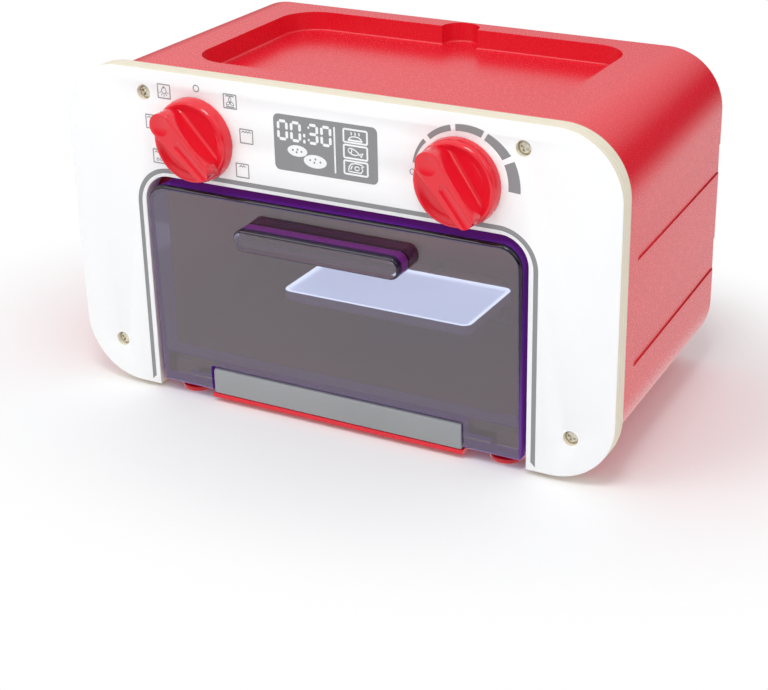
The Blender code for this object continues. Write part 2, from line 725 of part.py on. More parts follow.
flange_outline = rounded_outline(
    -half_opening - LINER_FLANGE, half_opening + LINER_FLANGE, flange_low, opening_top + LINER_FLANGE,
    DOOR_EDGE, OPENING_CORNER + LINER_FLANGE
)
oven_liner = add_piece(
    "oven_liner", along_y([(behind_panel, flange_outline), (flange_back, flange_outline)]), dark_red_plastic
)
mouth_outline = rounded_outline(
    -half_opening - LINER_WALL, half_opening + LINER_WALL, mouth_low - LINER_WALL, opening_top + LINER_WALL,
    DOOR_EDGE, OPENING_CORNER + LINER_WALL
)
mouth = along_y([(behind_panel + SEAT_GAP, mouth_outline), (mouth_end + LINER_WALL, mouth_outline)])
shape_with(oven_liner, "UNION", "mouth", mouth)


def cavity_outline(grow):
    """The oven box's cross-section, grown outwards."""
    return rounded_outline(
        -cavity_half - grow, cavity_half + grow, LINER_FLOOR - grow, liner_ceiling + grow,
        LINER_CORNER + grow, LINER_CORNER + grow
    )


box_outline = cavity_outline(LINER_WALL)
box = along_y([(mouth_end + LINER_WALL / 2, box_outline), (liner_back, box_outline)])
shape_with(oven_liner, "UNION", "box", box)
mouth_inner = rounded_outline(
    -half_opening, half_opening, mouth_low, opening_top, DOOR_EDGE, OPENING_CORNER
)
mouth_void = along_y([(behind_panel - CUT_OVERRUN, mouth_inner), (mouth_end, mouth_inner)])
shape_with(oven_liner, "DIFFERENCE", "mouth_inside", mouth_void)
cavity_inner = cavity_outline(0)
cavity = along_y([(mouth_end - LINER_WALL / 2, cavity_inner), (liner_back - LINER_WALL, cavity_inner)])
shape_with(oven_liner, "DIFFERENCE", "cavity", cavity)

# Screws that hold the oven box's flange to the plywood
flange_middle = LINER_FLANGE / 2 + LINER_WALL / 2
SIDE_SCREW_HEIGHT = 0.060
TOP_SCREW_SIDE = 0.0675
top_screw_x = half_opening - TOP_SCREW_SIDE
liner_screw_places = [(side * (half_opening + flange_middle), SIDE_SCREW_HEIGHT) for side in (-1, 1)]
liner_screw_places += [(side * top_screw_x, opening_top + flange_middle) for side in (-1, 1)]
flange_seat = flange_back + SEAT_GAP
liner_screws = [screw_along_y(SMALL_SCREW, flange_seat, -1, place) for place in liner_screw_places]
add_alike("liner_screw", liner_screws, nickel_steel)
for number, place in enumerate(liner_screw_places):
    for piece in (oven_liner, front_panel):
        way = pilot_along_y(SMALL_SCREW, flange_seat, -1, place)
        shape_with(piece, "DIFFERENCE", "liner_screw" + str(number), way)

# Screws through the flange into the back of the grey bar
BAR_SCREW_INSET = 0.026
bar_screw_x = half_bar - BAR_SCREW_INSET
bar_screw_height = HINGE_HEIGHT + HINGE_PIN_RADIUS / 2
bar_screw_places = [(side * bar_screw_x, bar_screw_height) for side in (-1, 1)]
bar_screws = [screw_along_y(SMALL_SCREW, flange_seat, -1, place) for place in bar_screw_places]
add_alike("hinge_bar_screw", bar_screws, nickel_steel)
for number, place in enumerate(bar_screw_places):
    for piece in (oven_liner, hinge_bar):
        way = pilot_along_y(SMALL_SCREW, flange_seat, -1, place)
        shape_with(piece, "DIFFERENCE", "bar_screw" + str(number), way)

# Lit shelf: a milky tray over a lamp board, on a bracket from the box's back wall
SHELF_SIDE = 0.049
SHELF_FRONT = 0.047
SHELF_REAR = 0.026
SHELF_RISE = 0.0345
SHELF_HEIGHT = 0.0062
SHELF_WALL = 0.0012
SHELF_RIM = 0.0042
SHELF_DISH = 0.0016
SHELF_CORNER = 0.0050
BRACKET_THICKNESS = 0.0022
BRACKET_SIDE = 0.016
BRACKET_UPRIGHT = 0.024
BRACKET_FRONT_STEP = 0.006
half_shelf = cavity_half - SHELF_SIDE
shelf_back = liner_back - SHELF_REAR
shelf_top = LINER_FLOOR + SHELF_RISE
shelf_low = shelf_top - SHELF_HEIGHT
bracket_top = shelf_low - SEAT_GAP
bracket_low = bracket_top - BRACKET_THICKNESS
box_wall_face = liner_back - LINER_WALL
bracket_back = box_wall_face - SEAT_GAP


def shelf_ring(inset, height):
    """The shelf's outline seen from above, drawn in by inset."""
    ring = rounded_outline(
        -half_shelf + inset, half_shelf - inset, SHELF_FRONT + inset, shelf_back - inset,
        max(SHELF_CORNER - inset, SHELF_WALL), max(SHELF_CORNER - inset, SHELF_WALL)
    )
    return [(x, y, height) for x, y in ring]


shelf_shape = loft(bmesh.new(), [
    shelf_ring(SHELF_WALL, shelf_low),
    shelf_ring(0, shelf_top - SHELF_WALL),
    shelf_ring(SHELF_WALL / 2, shelf_top),
    shelf_ring(SHELF_WALL, shelf_top),
    shelf_ring(SHELF_RIM, shelf_top - SHELF_DISH),
])
shelf_tray = add_piece("shelf_tray", shelf_shape, milky_plastic)
shelf_hollow = loft(bmesh.new(), [
    shelf_ring(SHELF_WALL * 2, shelf_low - CUT_OVERRUN),
    shelf_ring(SHELF_WALL * 2, shelf_top - SHELF_DISH - SHELF_WALL),
])
shape_with(shelf_tray, "DIFFERENCE", "lamp_space", shelf_hollow)

half_bracket = half_shelf - BRACKET_SIDE
bracket_front = SHELF_FRONT + BRACKET_FRONT_STEP
shelf_bracket = add_piece(
    "shelf_bracket",
    block(-half_bracket, half_bracket, bracket_front, bracket_back, bracket_low, bracket_top),
    white_plastic,
)
upright_foot = bracket_low - BRACKET_UPRIGHT
wall_leaf = block(
    -half_bracket, half_bracket, bracket_back - BRACKET_THICKNESS, bracket_back,
    upright_foot, bracket_low + BRACKET_THICKNESS / 2
)
shape_with(shelf_bracket, "UNION", "wall_leaf", wall_leaf)
gusset_reach = bracket_back - shelf_back + SHELF_RIM
for side, label in ((-1, "left"), (1, "right")):
    near = side * (half_bracket - BRACKET_THICKNESS / 2)
    far = near - side * BRACKET_THICKNESS
    gusset_outline = [
        (bracket_back - BRACKET_THICKNESS / 2, bracket_low + BRACKET_THICKNESS / 2),
        (bracket_back - gusset_reach, bracket_low + BRACKET_THICKNESS / 2),
        (bracket_back - BRACKET_THICKNESS / 2, upright_foot + BRACKET_THICKNESS),
    ]
    gusset = loft(bmesh.new(), [[(x, y, z) for y, z in gusset_outline] for x in (near, far)])
    shape_with(shelf_bracket, "UNION", "gusset_" + label, gusset)

SHELF_SCREW_INSET = 0.012
SHELF_SCREW_RISE = 0.008
shelf_screw_height = upright_foot + SHELF_SCREW_RISE
shelf_screw_seat = liner_back + SEAT_GAP
shelf_screw_x = half_bracket - SHELF_SCREW_INSET
shelf_screw_places = [(side * shelf_screw_x, shelf_screw_height) for side in (-1, 1)]
shelf_screws = [screw_along_y(SHELF_SCREW, shelf_screw_seat, -1, place) for place in shelf_screw_places]
add_alike("shelf_screw", shelf_screws, nickel_steel)
for number, place in enumerate(shelf_screw_places):
    for piece in (oven_liner, shelf_bracket):
        way = pilot_along_y(SMALL_SCREW, shelf_screw_seat, -1, place)
        shape_with(piece, "DIFFERENCE", "shelf_screw" + str(number), way)

# Lamp board with four lamps under the milky tray
LAMP_BOARD_SIDE = 0.013
LAMP_BOARD_DEPTH = 0.020
LAMP_BOARD_THICKNESS = 0.0010
LAMP_INSET = 0.009
LAMP_RADIUS = 0.0016
LAMP_HEIGHT = 0.0014
LAMP_COUNT = 4
shelf_middle = (SHELF_FRONT + shelf_back) / 2
half_lamp_board = half_shelf - LAMP_BOARD_SIDE
lamp_reach = half_lamp_board - LAMP_INSET
lamp_board_low = bracket_top + SEAT_GAP
lamp_board_top = lamp_board_low + LAMP_BOARD_THICKNESS
lamp_board = add_piece(
    "lamp_board",
    block(
        -half_lamp_board, half_lamp_board,
        shelf_middle - LAMP_BOARD_DEPTH / 2, shelf_middle + LAMP_BOARD_DEPTH / 2,
        lamp_board_low, lamp_board_top
    ),
    board_green,
)
for number in range(LAMP_COUNT):
    x = lamp_reach * (2 * number / (LAMP_COUNT - 1) - 1)
    profile = [
        (lamp_board_top - LAMP_BOARD_THICKNESS / 2, LAMP_RADIUS),
        (lamp_board_top + LAMP_HEIGHT / 2, LAMP_RADIUS),
        (lamp_board_top + LAMP_HEIGHT, LAMP_RADIUS / 2),
    ]
    shape_with(lamp_board, "UNION", "lamp" + str(number), upright(profile, BARE_SIDES, (x, shelf_middle)))

# Knobs: a turned body with a dished face, a teardrop grip that stands on it, and a stem
KNOB_SKIRT_RADIUS = 0.0235
KNOB_SKIRT_RIM = 0.0012
KNOB_BODY_RADIUS = 0.0216
KNOB_RIM_HEIGHT = 0.0080
KNOB_RIM_EDGE = 0.0010
KNOB_DISH_RADIUS = 0.0130
KNOB_DISH_HEIGHT = 0.0056
GRIP_REACH = 0.0212
GRIP_HEAD_RADIUS = 0.0068
GRIP_TAIL_RADIUS = 0.0036
GRIP_FLARE = 0.0042
GRIP_EDGE = 0.0012
KNOB_STEM_RADIUS = 0.0035
MODE_REST_ANGLE = radians(136.5)
TIMER_REST_ANGLE = radians(127.5)
WHEEL_THICKNESS = 0.0050
WHEEL_RADIUS = 0.0110
WHEEL_LOBE = 0.0006
WHEEL_LOBES = 12
LOBE_STEPS = 3
stem_end = behind_panel + WHEEL_THICKNESS + SEAT_GAP


def grip_outline(grow, rest_angle):
    """A teardrop in x and z whose ends stay where they are while its sides grow."""
    head = GRIP_HEAD_RADIUS + grow
    tail = GRIP_TAIL_RADIUS + grow
    head_middle = GRIP_REACH - head
    tail_middle = GRIP_REACH - tail
    taper = asin((head - tail) / (head_middle + tail_middle))
    sweeps = (
        (head_middle, head, -pi / 2 + taper, pi / 2 - taper),
        (-tail_middle, tail, pi / 2 - taper, 3 * pi / 2 + taper),
    )
    points = []
    for middle, radius, first, last in sweeps:
        for step in range(CORNER_STEPS + 1):
            turn = first + (last - first) * step / CORNER_STEPS
            along = middle + radius * cos(turn)
            across = radius * sin(turn)
            points.append((along * cos(rest_angle) - across * sin(rest_angle),
                           along * sin(rest_angle) + across * cos(rest_angle)))
    return points


def knob(name, x, rest_angle):
    """A knob on its own spot, with its grip at its rest angle."""
    skirt_face = -SEAT_GAP - KNOB_SKIRT_RIM
    rim_face = -KNOB_RIM_HEIGHT + KNOB_RIM_EDGE
    profile = [
        (-SEAT_GAP, KNOB_SKIRT_RADIUS),
        (skirt_face, KNOB_SKIRT_RADIUS),
        (rim_face, KNOB_BODY_RADIUS),
    ]
    for step in range(1, RIM_STEPS + 1):
        turn = pi / 2 * step / RIM_STEPS
        radius = KNOB_BODY_RADIUS - KNOB_RIM_EDGE * (1 - cos(turn))
        profile.append((rim_face - KNOB_RIM_EDGE * sin(turn), radius))
    dish_start = KNOB_BODY_RADIUS - KNOB_RIM_EDGE
    for step in range(1, EDGE_STEPS + 1):
        turn = pi / 2 * step / EDGE_STEPS
        radius = dish_start - (dish_start - KNOB_DISH_RADIUS) * step / EDGE_STEPS
        profile.append((-KNOB_RIM_HEIGHT + (KNOB_RIM_HEIGHT - KNOB_DISH_HEIGHT) * sin(turn), radius))
    made = add_piece(name, turned(profile, ROUND_SIDES), red_plastic, place=(x, 0, knob_height))
    stations = [((-KNOB_DISH_HEIGHT + skirt_face) / 2, grip_outline(GRIP_FLARE, rest_angle))]
    fillet_height = KNOB_REACH - GRIP_EDGE - KNOB_DISH_HEIGHT
    for step in range(EDGE_STEPS + 1):
        turn = pi / 2 * (1 - step / EDGE_STEPS)
        depth = -KNOB_DISH_HEIGHT - fillet_height * (1 - sin(turn))
        stations.append((depth, grip_outline(GRIP_FLARE * (1 - cos(turn)), rest_angle)))
    for step in range(1, RIM_STEPS + 1):
        turn = pi / 2 * step / RIM_STEPS
        depth = -KNOB_REACH + GRIP_EDGE * (1 - sin(turn))
        stations.append((depth, grip_outline(-GRIP_EDGE * (1 - cos(turn)), rest_angle)))
    shape_with(made, "UNION", "grip", along_y(stations))
    stem = turned([(skirt_face, KNOB_STEM_RADIUS), (stem_end, KNOB_STEM_RADIUS)], SMALL_SIDES)
    shape_with(made, "UNION", "stem", stem)
    bore = pilot_along_y(WHEEL_SCREW, stem_end, -1, (0, 0))
    shape_with(made, "DIFFERENCE", "screw_hole", bore)
    return made


def click_wheel(name, x):
    """The notched wheel on the end of a knob's stem."""
    outline = []
    for step in range(WHEEL_LOBES * LOBE_STEPS):
        turn = 2 * pi * step / (WHEEL_LOBES * LOBE_STEPS)
        radius = WHEEL_RADIUS - WHEEL_LOBE * (1 - cos(WHEEL_LOBES * turn)) / 2
        outline.append((radius * cos(turn), radius * sin(turn)))
    wheel = along_y([(behind_panel, outline), (behind_panel + WHEEL_THICKNESS, outline)])
    made = add_piece(name, wheel, white_plastic, place=(x, 0, knob_height))
    bore_radius = KNOB_STEM_RADIUS + SEAT_GAP
    bore_end = behind_panel + WHEEL_THICKNESS + CUT_OVERRUN
    bore = turned([(0, bore_radius), (bore_end, bore_radius)], SMALL_SIDES)
    shape_with(made, "DIFFERENCE", "bore", bore)
    return made


# Click springs: a bent strip over each wheel with a nose that drops between its lobes
SPRING_THICKNESS = 0.0005
SPRING_WIDTH = 0.0040
SPRING_HALF_LENGTH = 0.0100
SPRING_NOSE = 0.0018
SPRING_NOSE_HALF = 0.0018
SPRING_FOOT = 0.0070
spring_low = WHEEL_RADIUS + SEAT_GAP + SPRING_NOSE
spring_foot_middle = SPRING_HALF_LENGTH + SPRING_FOOT / 2


def click_spring(name, x):
    """A strip with its nose over the wheel, and a foot with a screw hole against the plywood."""
    low = spring_low
    high = low + SPRING_THICKNESS
    end = SPRING_HALF_LENGTH
    outline = [
        (-end, low),
        (-SPRING_NOSE_HALF, low),
        (0, low - SPRING_NOSE),
        (SPRING_NOSE_HALF, low),
        (end + SPRING_THICKNESS, low),
        (end + SPRING_THICKNESS, high),
        (SPRING_NOSE_HALF, high),
        (0, high - SPRING_NOSE),
        (-SPRING_NOSE_HALF, high),
        (-end, high),
    ]
    strip = along_y([(behind_panel, outline), (behind_panel + SPRING_WIDTH, outline)])
    made = add_piece(name, strip, nickel_steel, place=(x, 0, knob_height))
    leaf = block(
        end, end + SPRING_FOOT, behind_panel, behind_panel + SPRING_THICKNESS,
        low - SPRING_FOOT / 2, low + SPRING_FOOT / 2
    )
    shape_with(made, "UNION", "foot", leaf)
    hole = pilot_along_y(SMALL_SCREW, behind_panel + SPRING_THICKNESS, -1, (spring_foot_middle, low))
    shape_with(made, "DIFFERENCE", "screw_hole", hole)
    return made


spring_screws = []
for label, x, rest_angle in (("mode", mode_x, MODE_REST_ANGLE), ("timer", timer_x, TIMER_REST_ANGLE)):
    knob(label + "_knob", x, rest_angle)
    click_wheel(label + "_click_wheel", x)
    wheel_screw = screw_along_y(WHEEL_SCREW, stem_end + SEAT_GAP, -1, (0, 0))
    add_piece(label + "_wheel_screw", wheel_screw, nickel_steel, place=(x, 0, knob_height))
    click_spring(label + "_click_spring", x)
    screw_place = (x + spring_foot_middle, knob_height + spring_low)
    spring_seat = behind_panel + SPRING_THICKNESS + SEAT_GAP
    spring_screws.append(screw_along_y(SMALL_SCREW, spring_seat, -1, screw_place))
    screw_way = pilot_along_y(SMALL_SCREW, spring_seat, -1, screw_place)
    shape_with(front_panel, "DIFFERENCE", label + "_spring_screw", screw_way)
    way_radius = KNOB_STEM_RADIUS + SEAT_GAP
    way_profile = [(-CUT_OVERRUN, way_radius), (PANEL_THICKNESS + CUT_OVERRUN, way_radius)]
    stem_way = turned(way_profile, SMALL_SIDES, (x, knob_height))
    shape_with(front_panel, "DIFFERENCE", label + "_stem_hole", stem_way)
add_alike("spring_screw", spring_screws, nickel_steel)

# Light switch beside the left click wheel, on a small circuit board behind the plywood
BOARD_WIDTH = 0.040
BOARD_HEIGHT = 0.018
BOARD_THICKNESS = 0.0016
SWITCH_WIDTH = 0.0120
SWITCH_HEIGHT = 0.0060
SWITCH_DEPTH = 0.0058
SWITCH_BUTTON_RADIUS = 0.0012
SWITCH_BUTTON_REACH = 0.0022
switch_left = mode_x + WHEEL_RADIUS + SEAT_GAP + SWITCH_BUTTON_REACH
board_left = switch_left - SEAT_GAP
board_right = board_left + BOARD_WIDTH
board_low = knob_height - BOARD_HEIGHT / 2
board_high = knob_height + BOARD_HEIGHT / 2
board_back = behind_panel + BOARD_THICKNESS
circuit_board = add_piece(
    "circuit_board",
    block(board_left, board_right, behind_panel, board_back, board_low, board_high),
    board_green,
)
CHIP_SIZE = 0.0050
CHIP_HEIGHT = 0.0015
CAN_RADIUS = 0.0025
CAN_HEIGHT = 0.0065
CHIP_PLACE = 0.022
CAN_PLACE = 0.030
chip_middle = board_left + CHIP_PLACE
chip = block(
    chip_middle - CHIP_SIZE / 2, chip_middle + CHIP_SIZE / 2, board_back - BOARD_THICKNESS / 2,
    board_back + CHIP_HEIGHT, knob_height - CHIP_SIZE / 2, knob_height + CHIP_SIZE / 2
)
shape_with(circuit_board, "UNION", "chip", chip)
can_middle = (board_left + CAN_PLACE, knob_height)
can_profile = [(board_back - BOARD_THICKNESS / 2, CAN_RADIUS), (board_back + CAN_HEIGHT, CAN_RADIUS)]
can = turned(can_profile, SMALL_SIDES, can_middle)
shape_with(circuit_board, "UNION", "capacitor", can)
switch_front = board_back + SEAT_GAP
light_switch = add_piece(
    "light_switch",
    block(
        switch_left, switch_left + SWITCH_WIDTH, switch_front, switch_front + SWITCH_DEPTH,
        knob_height - SWITCH_HEIGHT / 2, knob_height + SWITCH_HEIGHT / 2
    ),
    black_plastic,
)
button_profile = [
    (switch_left - SWITCH_BUTTON_REACH, SWITCH_BUTTON_RADIUS),
    (switch_left + SWITCH_BUTTON_REACH, SWITCH_BUTTON_RADIUS),
]
button = crosswise(button_profile, BARE_SIDES, (switch_front + SWITCH_DEPTH / 2, knob_height))
shape_with(light_switch, "UNION", "button", button)
BOARD_SCREW_INSET = 0.0040
BOARD_SCREW_PLACE = 0.018
board_seat = board_back + SEAT_GAP
board_screw_places = [
    (board_left + BOARD_SCREW_PLACE, board_high - BOARD_SCREW_INSET),
    (board_right - BOARD_SCREW_INSET, board_low + BOARD_SCREW_INSET),
]
board_screws = [screw_along_y(SMALL_SCREW, board_seat, -1, place) for place in board_screw_places]
add_alike("board_screw", board_screws, nickel_steel)
for number, place in enumerate(board_screw_places):
    for piece in (front_panel, circuit_board):
        way = pilot_along_y(SMALL_SCREW, board_seat, -1, place)
        shape_with(piece, "DIFFERENCE", "board_screw" + str(number), way)

# Battery box behind the back wall, for three cells that lie across
CELL_RADIUS = 0.00525
CELL_LENGTH = 0.0445
CELL_GAP = 0.0003
CELL_COUNT = 3
CELL_TIP_RADIUS = 0.0019
CELL_SIDES = 12
CELL_TIP_LENGTH = 0.0008
CONTACT_ROOM = 0.0030
BATTERY_WALL = 0.0014
BATTERY_POST = 0.0080
BATTERY_TOP_GAP = 0.0017
BATTERY_COVER = 0.0026
COVER_EDGE = 0.0015
bay_height = CELL_COUNT * 2 * CELL_RADIUS + (CELL_COUNT + 1) * CELL_GAP
bay_width = CELL_LENGTH + 2 * CONTACT_ROOM
bay_depth = 2 * CELL_RADIUS + 2 * CELL_GAP
bay_left = -bay_width / 2
bay_right = bay_width / 2
battery_high = recess_floor - RECESS_WALL - BATTERY_TOP_GAP
battery_low = battery_high - bay_height - 2 * BATTERY_WALL
box_left = bay_left - BATTERY_WALL
box_right = bay_right + BATTERY_WALL + BATTERY_POST
box_back = inside_end - SEAT_GAP
box_front = box_back - bay_depth - BATTERY_WALL
bay_low = battery_low + BATTERY_WALL
bay_high = bay_low + bay_height
bay_front = box_front + BATTERY_WALL
battery_box = add_piece(
    "battery_box",
    block(box_left, box_right, box_front, box_back, battery_low, battery_high),
    black_plastic,
)
bay = block(bay_left, bay_right, bay_front, box_back + CUT_OVERRUN, bay_low, bay_high)
shape_with(battery_box, "DIFFERENCE", "bay", bay)
window_left = bay_left + SEAT_GAP
window_right = box_right - BATTERY_WALL
window_low = bay_low
window_high = battery_high - BATTERY_WALL
window = rounded_outline(window_left, window_right, window_low, window_high, COVER_EDGE, COVER_EDGE)
back_window = along_y([(inside_end - CUT_OVERRUN, window), (OVEN_DEPTH + CUT_OVERRUN, window)])
shape_with(housing, "DIFFERENCE", "battery_window", back_window)
cover_outline = rounded_outline(
    window_left + SEAT_GAP, window_right - SEAT_GAP, window_low + SEAT_GAP, window_high - SEAT_GAP,
    COVER_EDGE, COVER_EDGE
)
cover_front = OVEN_DEPTH - BATTERY_COVER
battery_door = add_piece(
    "battery_door", along_y([(cover_front, cover_outline), (OVEN_DEPTH, cover_outline)]), red_plastic
)
cover_screw_place = (bay_right + BATTERY_WALL + BATTERY_POST / 3, (battery_low + battery_high) / 2)
cover_screw_seat = OVEN_DEPTH - COVER_SCREW_HEAD_HEIGHT - SEAT_GAP
sink_radius = COVER_SCREW_HEAD + SEAT_GAP
cover_sink = turned(
    [(cover_screw_seat - SEAT_GAP, sink_radius), (OVEN_DEPTH + CUT_OVERRUN, sink_radius)],
    SMALL_SIDES, cover_screw_place
)
shape_with(battery_door, "DIFFERENCE", "screw_sink", cover_sink)
cover_screw = screw_along_y(COVER_SCREW, cover_screw_seat, -1, cover_screw_place)
add_piece("battery_door_screw", cover_screw, nickel_steel)
for piece in (battery_door, battery_box):
    way = pilot_along_y(COVER_SCREW, cover_screw_seat, -1, cover_screw_place)
    shape_with(piece, "DIFFERENCE", "cover_screw", way)

# Cells, which alternate in direction, and the plates that touch their ends and link neighbours
CONTACT_THICKNESS = 0.0004
CONTACT_SIZE = 0.0080
SPRING_COIL_RADIUS = 0.0030
cell_depth = box_back - CELL_GAP - CELL_RADIUS
cell_pitch = 2 * CELL_RADIUS + CELL_GAP
cell_heights = [bay_low + CELL_GAP + CELL_RADIUS + number * cell_pitch for number in range(CELL_COUNT)]
cells = []
for number, height in enumerate(cell_heights):
    way = 1 if number % 2 else -1
    start = -way * CELL_LENGTH / 2
    body_end = start + way * (CELL_LENGTH - CELL_TIP_LENGTH)
    profile = [
        (start, CELL_RADIUS - CELL_GAP),
        (start + way * CELL_GAP, CELL_RADIUS),
        (body_end - way * CELL_GAP, CELL_RADIUS),
        (body_end, CELL_RADIUS - CELL_GAP),
        (body_end, CELL_TIP_RADIUS),
        (body_end + way * CELL_TIP_LENGTH, CELL_TIP_RADIUS),
    ]
    cells.append(crosswise(profile, CELL_SIDES, (cell_depth, height)))
add_alike("battery_cell", cells, cell_jacket)


def contact(name, end, numbers):
    """A plate on one end wall of the bay, with a cone or a button to each of its cells."""
    wall = end * (bay_width / 2 - SEAT_GAP)
    inner = wall - end * CONTACT_THICKNESS
    face = end * (CELL_LENGTH / 2 + SEAT_GAP)
    low = cell_heights[numbers[0]] - CONTACT_SIZE / 2
    high = cell_heights[numbers[-1]] + CONTACT_SIZE / 2
    front = cell_depth - CONTACT_SIZE / 2
    back = cell_depth + CONTACT_SIZE / 2
    plate = block(min(wall, inner), max(wall, inner), front, back, low, high)
    made = add_piece(name, plate, nickel_steel)
    for number in numbers:
        faces_spring = (end < 0) == bool(number % 2)
        tip = SPRING_COIL_RADIUS if faces_spring else CELL_TIP_RADIUS
        cone = crosswise(
            [((wall + inner) / 2, CONTACT_SIZE / 2 - CONTACT_THICKNESS), (face, tip)],
            BARE_SIDES, (cell_depth, cell_heights[number])
        )
        shape_with(made, "UNION", "touch" + str(number), cone)
    return made


contact("battery_contact_1", -1, [0])
contact("battery_contact_2", -1, [1, 2])
contact("battery_contact_3", 1, [0, 1])
contact("battery_contact_4", 1, [2])

# Wires from the battery box to the board, and from the board over the oven box to the lamp board
WIRE_RADIUS = 0.0009
WIRE_POINT_SPACING = 0.006
WIRE_SWAY = 0.00596
LAMP_WIRE_PLACE = 0.024
WIRE_DROP = 0.02975
WIRE_TURN = 0.01365


def wire(name, route):
    """A round wire along a smooth curve through the route's points."""
    path = [Vector(point) for point in route]
    padded = [path[0] * 2 - path[1], *path, path[-1] * 2 - path[-2]]
    points = []
    for before, start, end, after in zip(padded, padded[1:], padded[2:], padded[3:]):
        count = max(2, round((end - start).length / WIRE_POINT_SPACING))
        for step in range(count):
            share = step / count
            points.append(
                (2 * start + (end - before) * share
                 + (2 * before - 5 * start + 4 * end - after) * share ** 2
                 + (3 * start - before - 3 * end + after) * share ** 3) / 2
            )
    points.append(path[-1])
    curve = bpy.data.curves.new(name, "CURVE")
    curve.dimensions = "3D"
    curve.bevel_depth = WIRE_RADIUS
    curve.bevel_resolution = 1
    curve.use_fill_caps = True
    line = curve.splines.new("POLY")
    line.points.add(len(points) - 1)
    for spot, point in zip(line.points, points):
        spot.co = (*point, 1)
    made = bpy.data.objects.new(name, curve)
    bpy.context.scene.collection.objects.link(made)
    made.data.materials.append(wire_jacket)
    made.parent = oven_place
    return made


wire_clear = WIRE_RADIUS + SEAT_GAP
wire_board_height = knob_height - SWITCH_HEIGHT
battery_wire_x = board_right - 2 * BOARD_SCREW_INSET
above_liner = opening_top + LINER_FLANGE + 2 * wire_clear
wire("battery_wires", [
    (battery_wire_x, board_back + wire_clear, wire_board_height),
    (battery_wire_x, board_back + CAN_HEIGHT, wire_board_height),
    (battery_wire_x, RECESS_FRONT, above_liner + WIRE_RADIUS),
    (battery_wire_x + WIRE_SWAY, liner_back / 2, above_liner),
    (battery_wire_x + WIRE_SWAY / 2, box_front - CAN_HEIGHT, above_liner + WIRE_RADIUS),
    (battery_wire_x, box_front - wire_clear, above_liner + WIRE_RADIUS),
])
lamp_wire_x = board_left + LAMP_WIRE_PLACE
lamp_height = lamp_board_low + wire_clear
behind_liner = liner_back + 4 * wire_clear
wire("lamp_wires", [
    (lamp_wire_x, board_back + wire_clear, wire_board_height),
    (lamp_wire_x, board_back + CAN_HEIGHT, wire_board_height),
    (lamp_wire_x, RECESS_FRONT, above_liner),
    (lamp_wire_x, liner_back / 2, above_liner - WIRE_RADIUS),
    (lamp_wire_x, liner_back - CAN_HEIGHT, above_liner - WIRE_RADIUS),
    (lamp_wire_x, behind_liner, liner_ceiling),
    (lamp_wire_x / 2, behind_liner + WIRE_RADIUS, liner_ceiling - WIRE_DROP),
    (0, behind_liner, lamp_height + WIRE_TURN),
    (0, liner_back, lamp_height + WIRE_RADIUS),
    (0, shelf_back + CAN_HEIGHT, lamp_height),
    (0, shelf_middle + LAMP_BOARD_DEPTH / 2 + wire_clear, lamp_height),
])
WIRE_HOLE_RADIUS = 0.0030
wire_hole = turned(
    [(box_wall_face - CUT_OVERRUN, WIRE_HOLE_RADIUS), (liner_back + CUT_OVERRUN, WIRE_HOLE_RADIUS)],
    BARE_SIDES, (0, lamp_height + WIRE_RADIUS)
)
shape_with(oven_liner, "DIFFERENCE", "wire_hole", wire_hole)
wire_gap = block(
    -WIRE_HOLE_RADIUS, WIRE_HOLE_RADIUS, shelf_back - SHELF_RIM, shelf_back + CUT_OVERRUN,
    shelf_low - CUT_OVERRUN, lamp_height + wire_clear
)
shape_with(shelf_tray, "DIFFERENCE", "wire_gap", wire_gap)
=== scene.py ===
import json
from math import asin, atan2, cos, hypot, pi, radians, sin

import bmesh
import bpy
from mathutils import Matrix, Vector


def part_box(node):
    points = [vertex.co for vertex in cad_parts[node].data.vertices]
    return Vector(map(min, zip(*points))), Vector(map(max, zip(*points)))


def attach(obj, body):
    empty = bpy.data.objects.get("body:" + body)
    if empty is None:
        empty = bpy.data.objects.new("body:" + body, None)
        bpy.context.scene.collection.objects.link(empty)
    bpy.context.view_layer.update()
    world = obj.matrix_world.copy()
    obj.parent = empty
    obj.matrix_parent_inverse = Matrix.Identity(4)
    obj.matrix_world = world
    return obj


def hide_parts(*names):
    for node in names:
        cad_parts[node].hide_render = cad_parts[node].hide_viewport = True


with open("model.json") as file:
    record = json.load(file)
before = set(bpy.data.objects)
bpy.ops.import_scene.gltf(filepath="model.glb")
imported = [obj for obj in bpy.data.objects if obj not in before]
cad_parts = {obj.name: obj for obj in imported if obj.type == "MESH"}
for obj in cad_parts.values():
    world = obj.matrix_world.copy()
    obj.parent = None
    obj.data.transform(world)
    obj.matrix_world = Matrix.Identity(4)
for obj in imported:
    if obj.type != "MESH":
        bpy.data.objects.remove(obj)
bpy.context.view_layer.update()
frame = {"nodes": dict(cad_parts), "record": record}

# Camera: it stands to the right of the oven and looks down on it from about 25 degrees. Its place and
# angle were fitted to the front's straight edges, its corners and the housing behind.
camera_data = bpy.data.cameras.new("camera")
camera = bpy.data.objects.new("camera", camera_data)
bpy.context.scene.collection.objects.link(camera)
bpy.context.scene.camera = camera
camera_data.sensor_width = 36.0
camera_data.lens = 83.376
camera_data.clip_start = 0.05
camera_data.clip_end = 20.0
camera.location = (0.436086, -0.806075, 0.442564)
camera_turn = radians(29.012)
camera_tilt = radians(90 - 24.851)
camera_roll = radians(-1.264)
camera_way = (
    Matrix.Rotation(camera_turn, 3, "Z")
    @ Matrix.Rotation(camera_tilt, 3, "X")
    @ Matrix.Rotation(camera_roll, 3, "Z")
)
camera.rotation_euler = camera_way.to_euler()

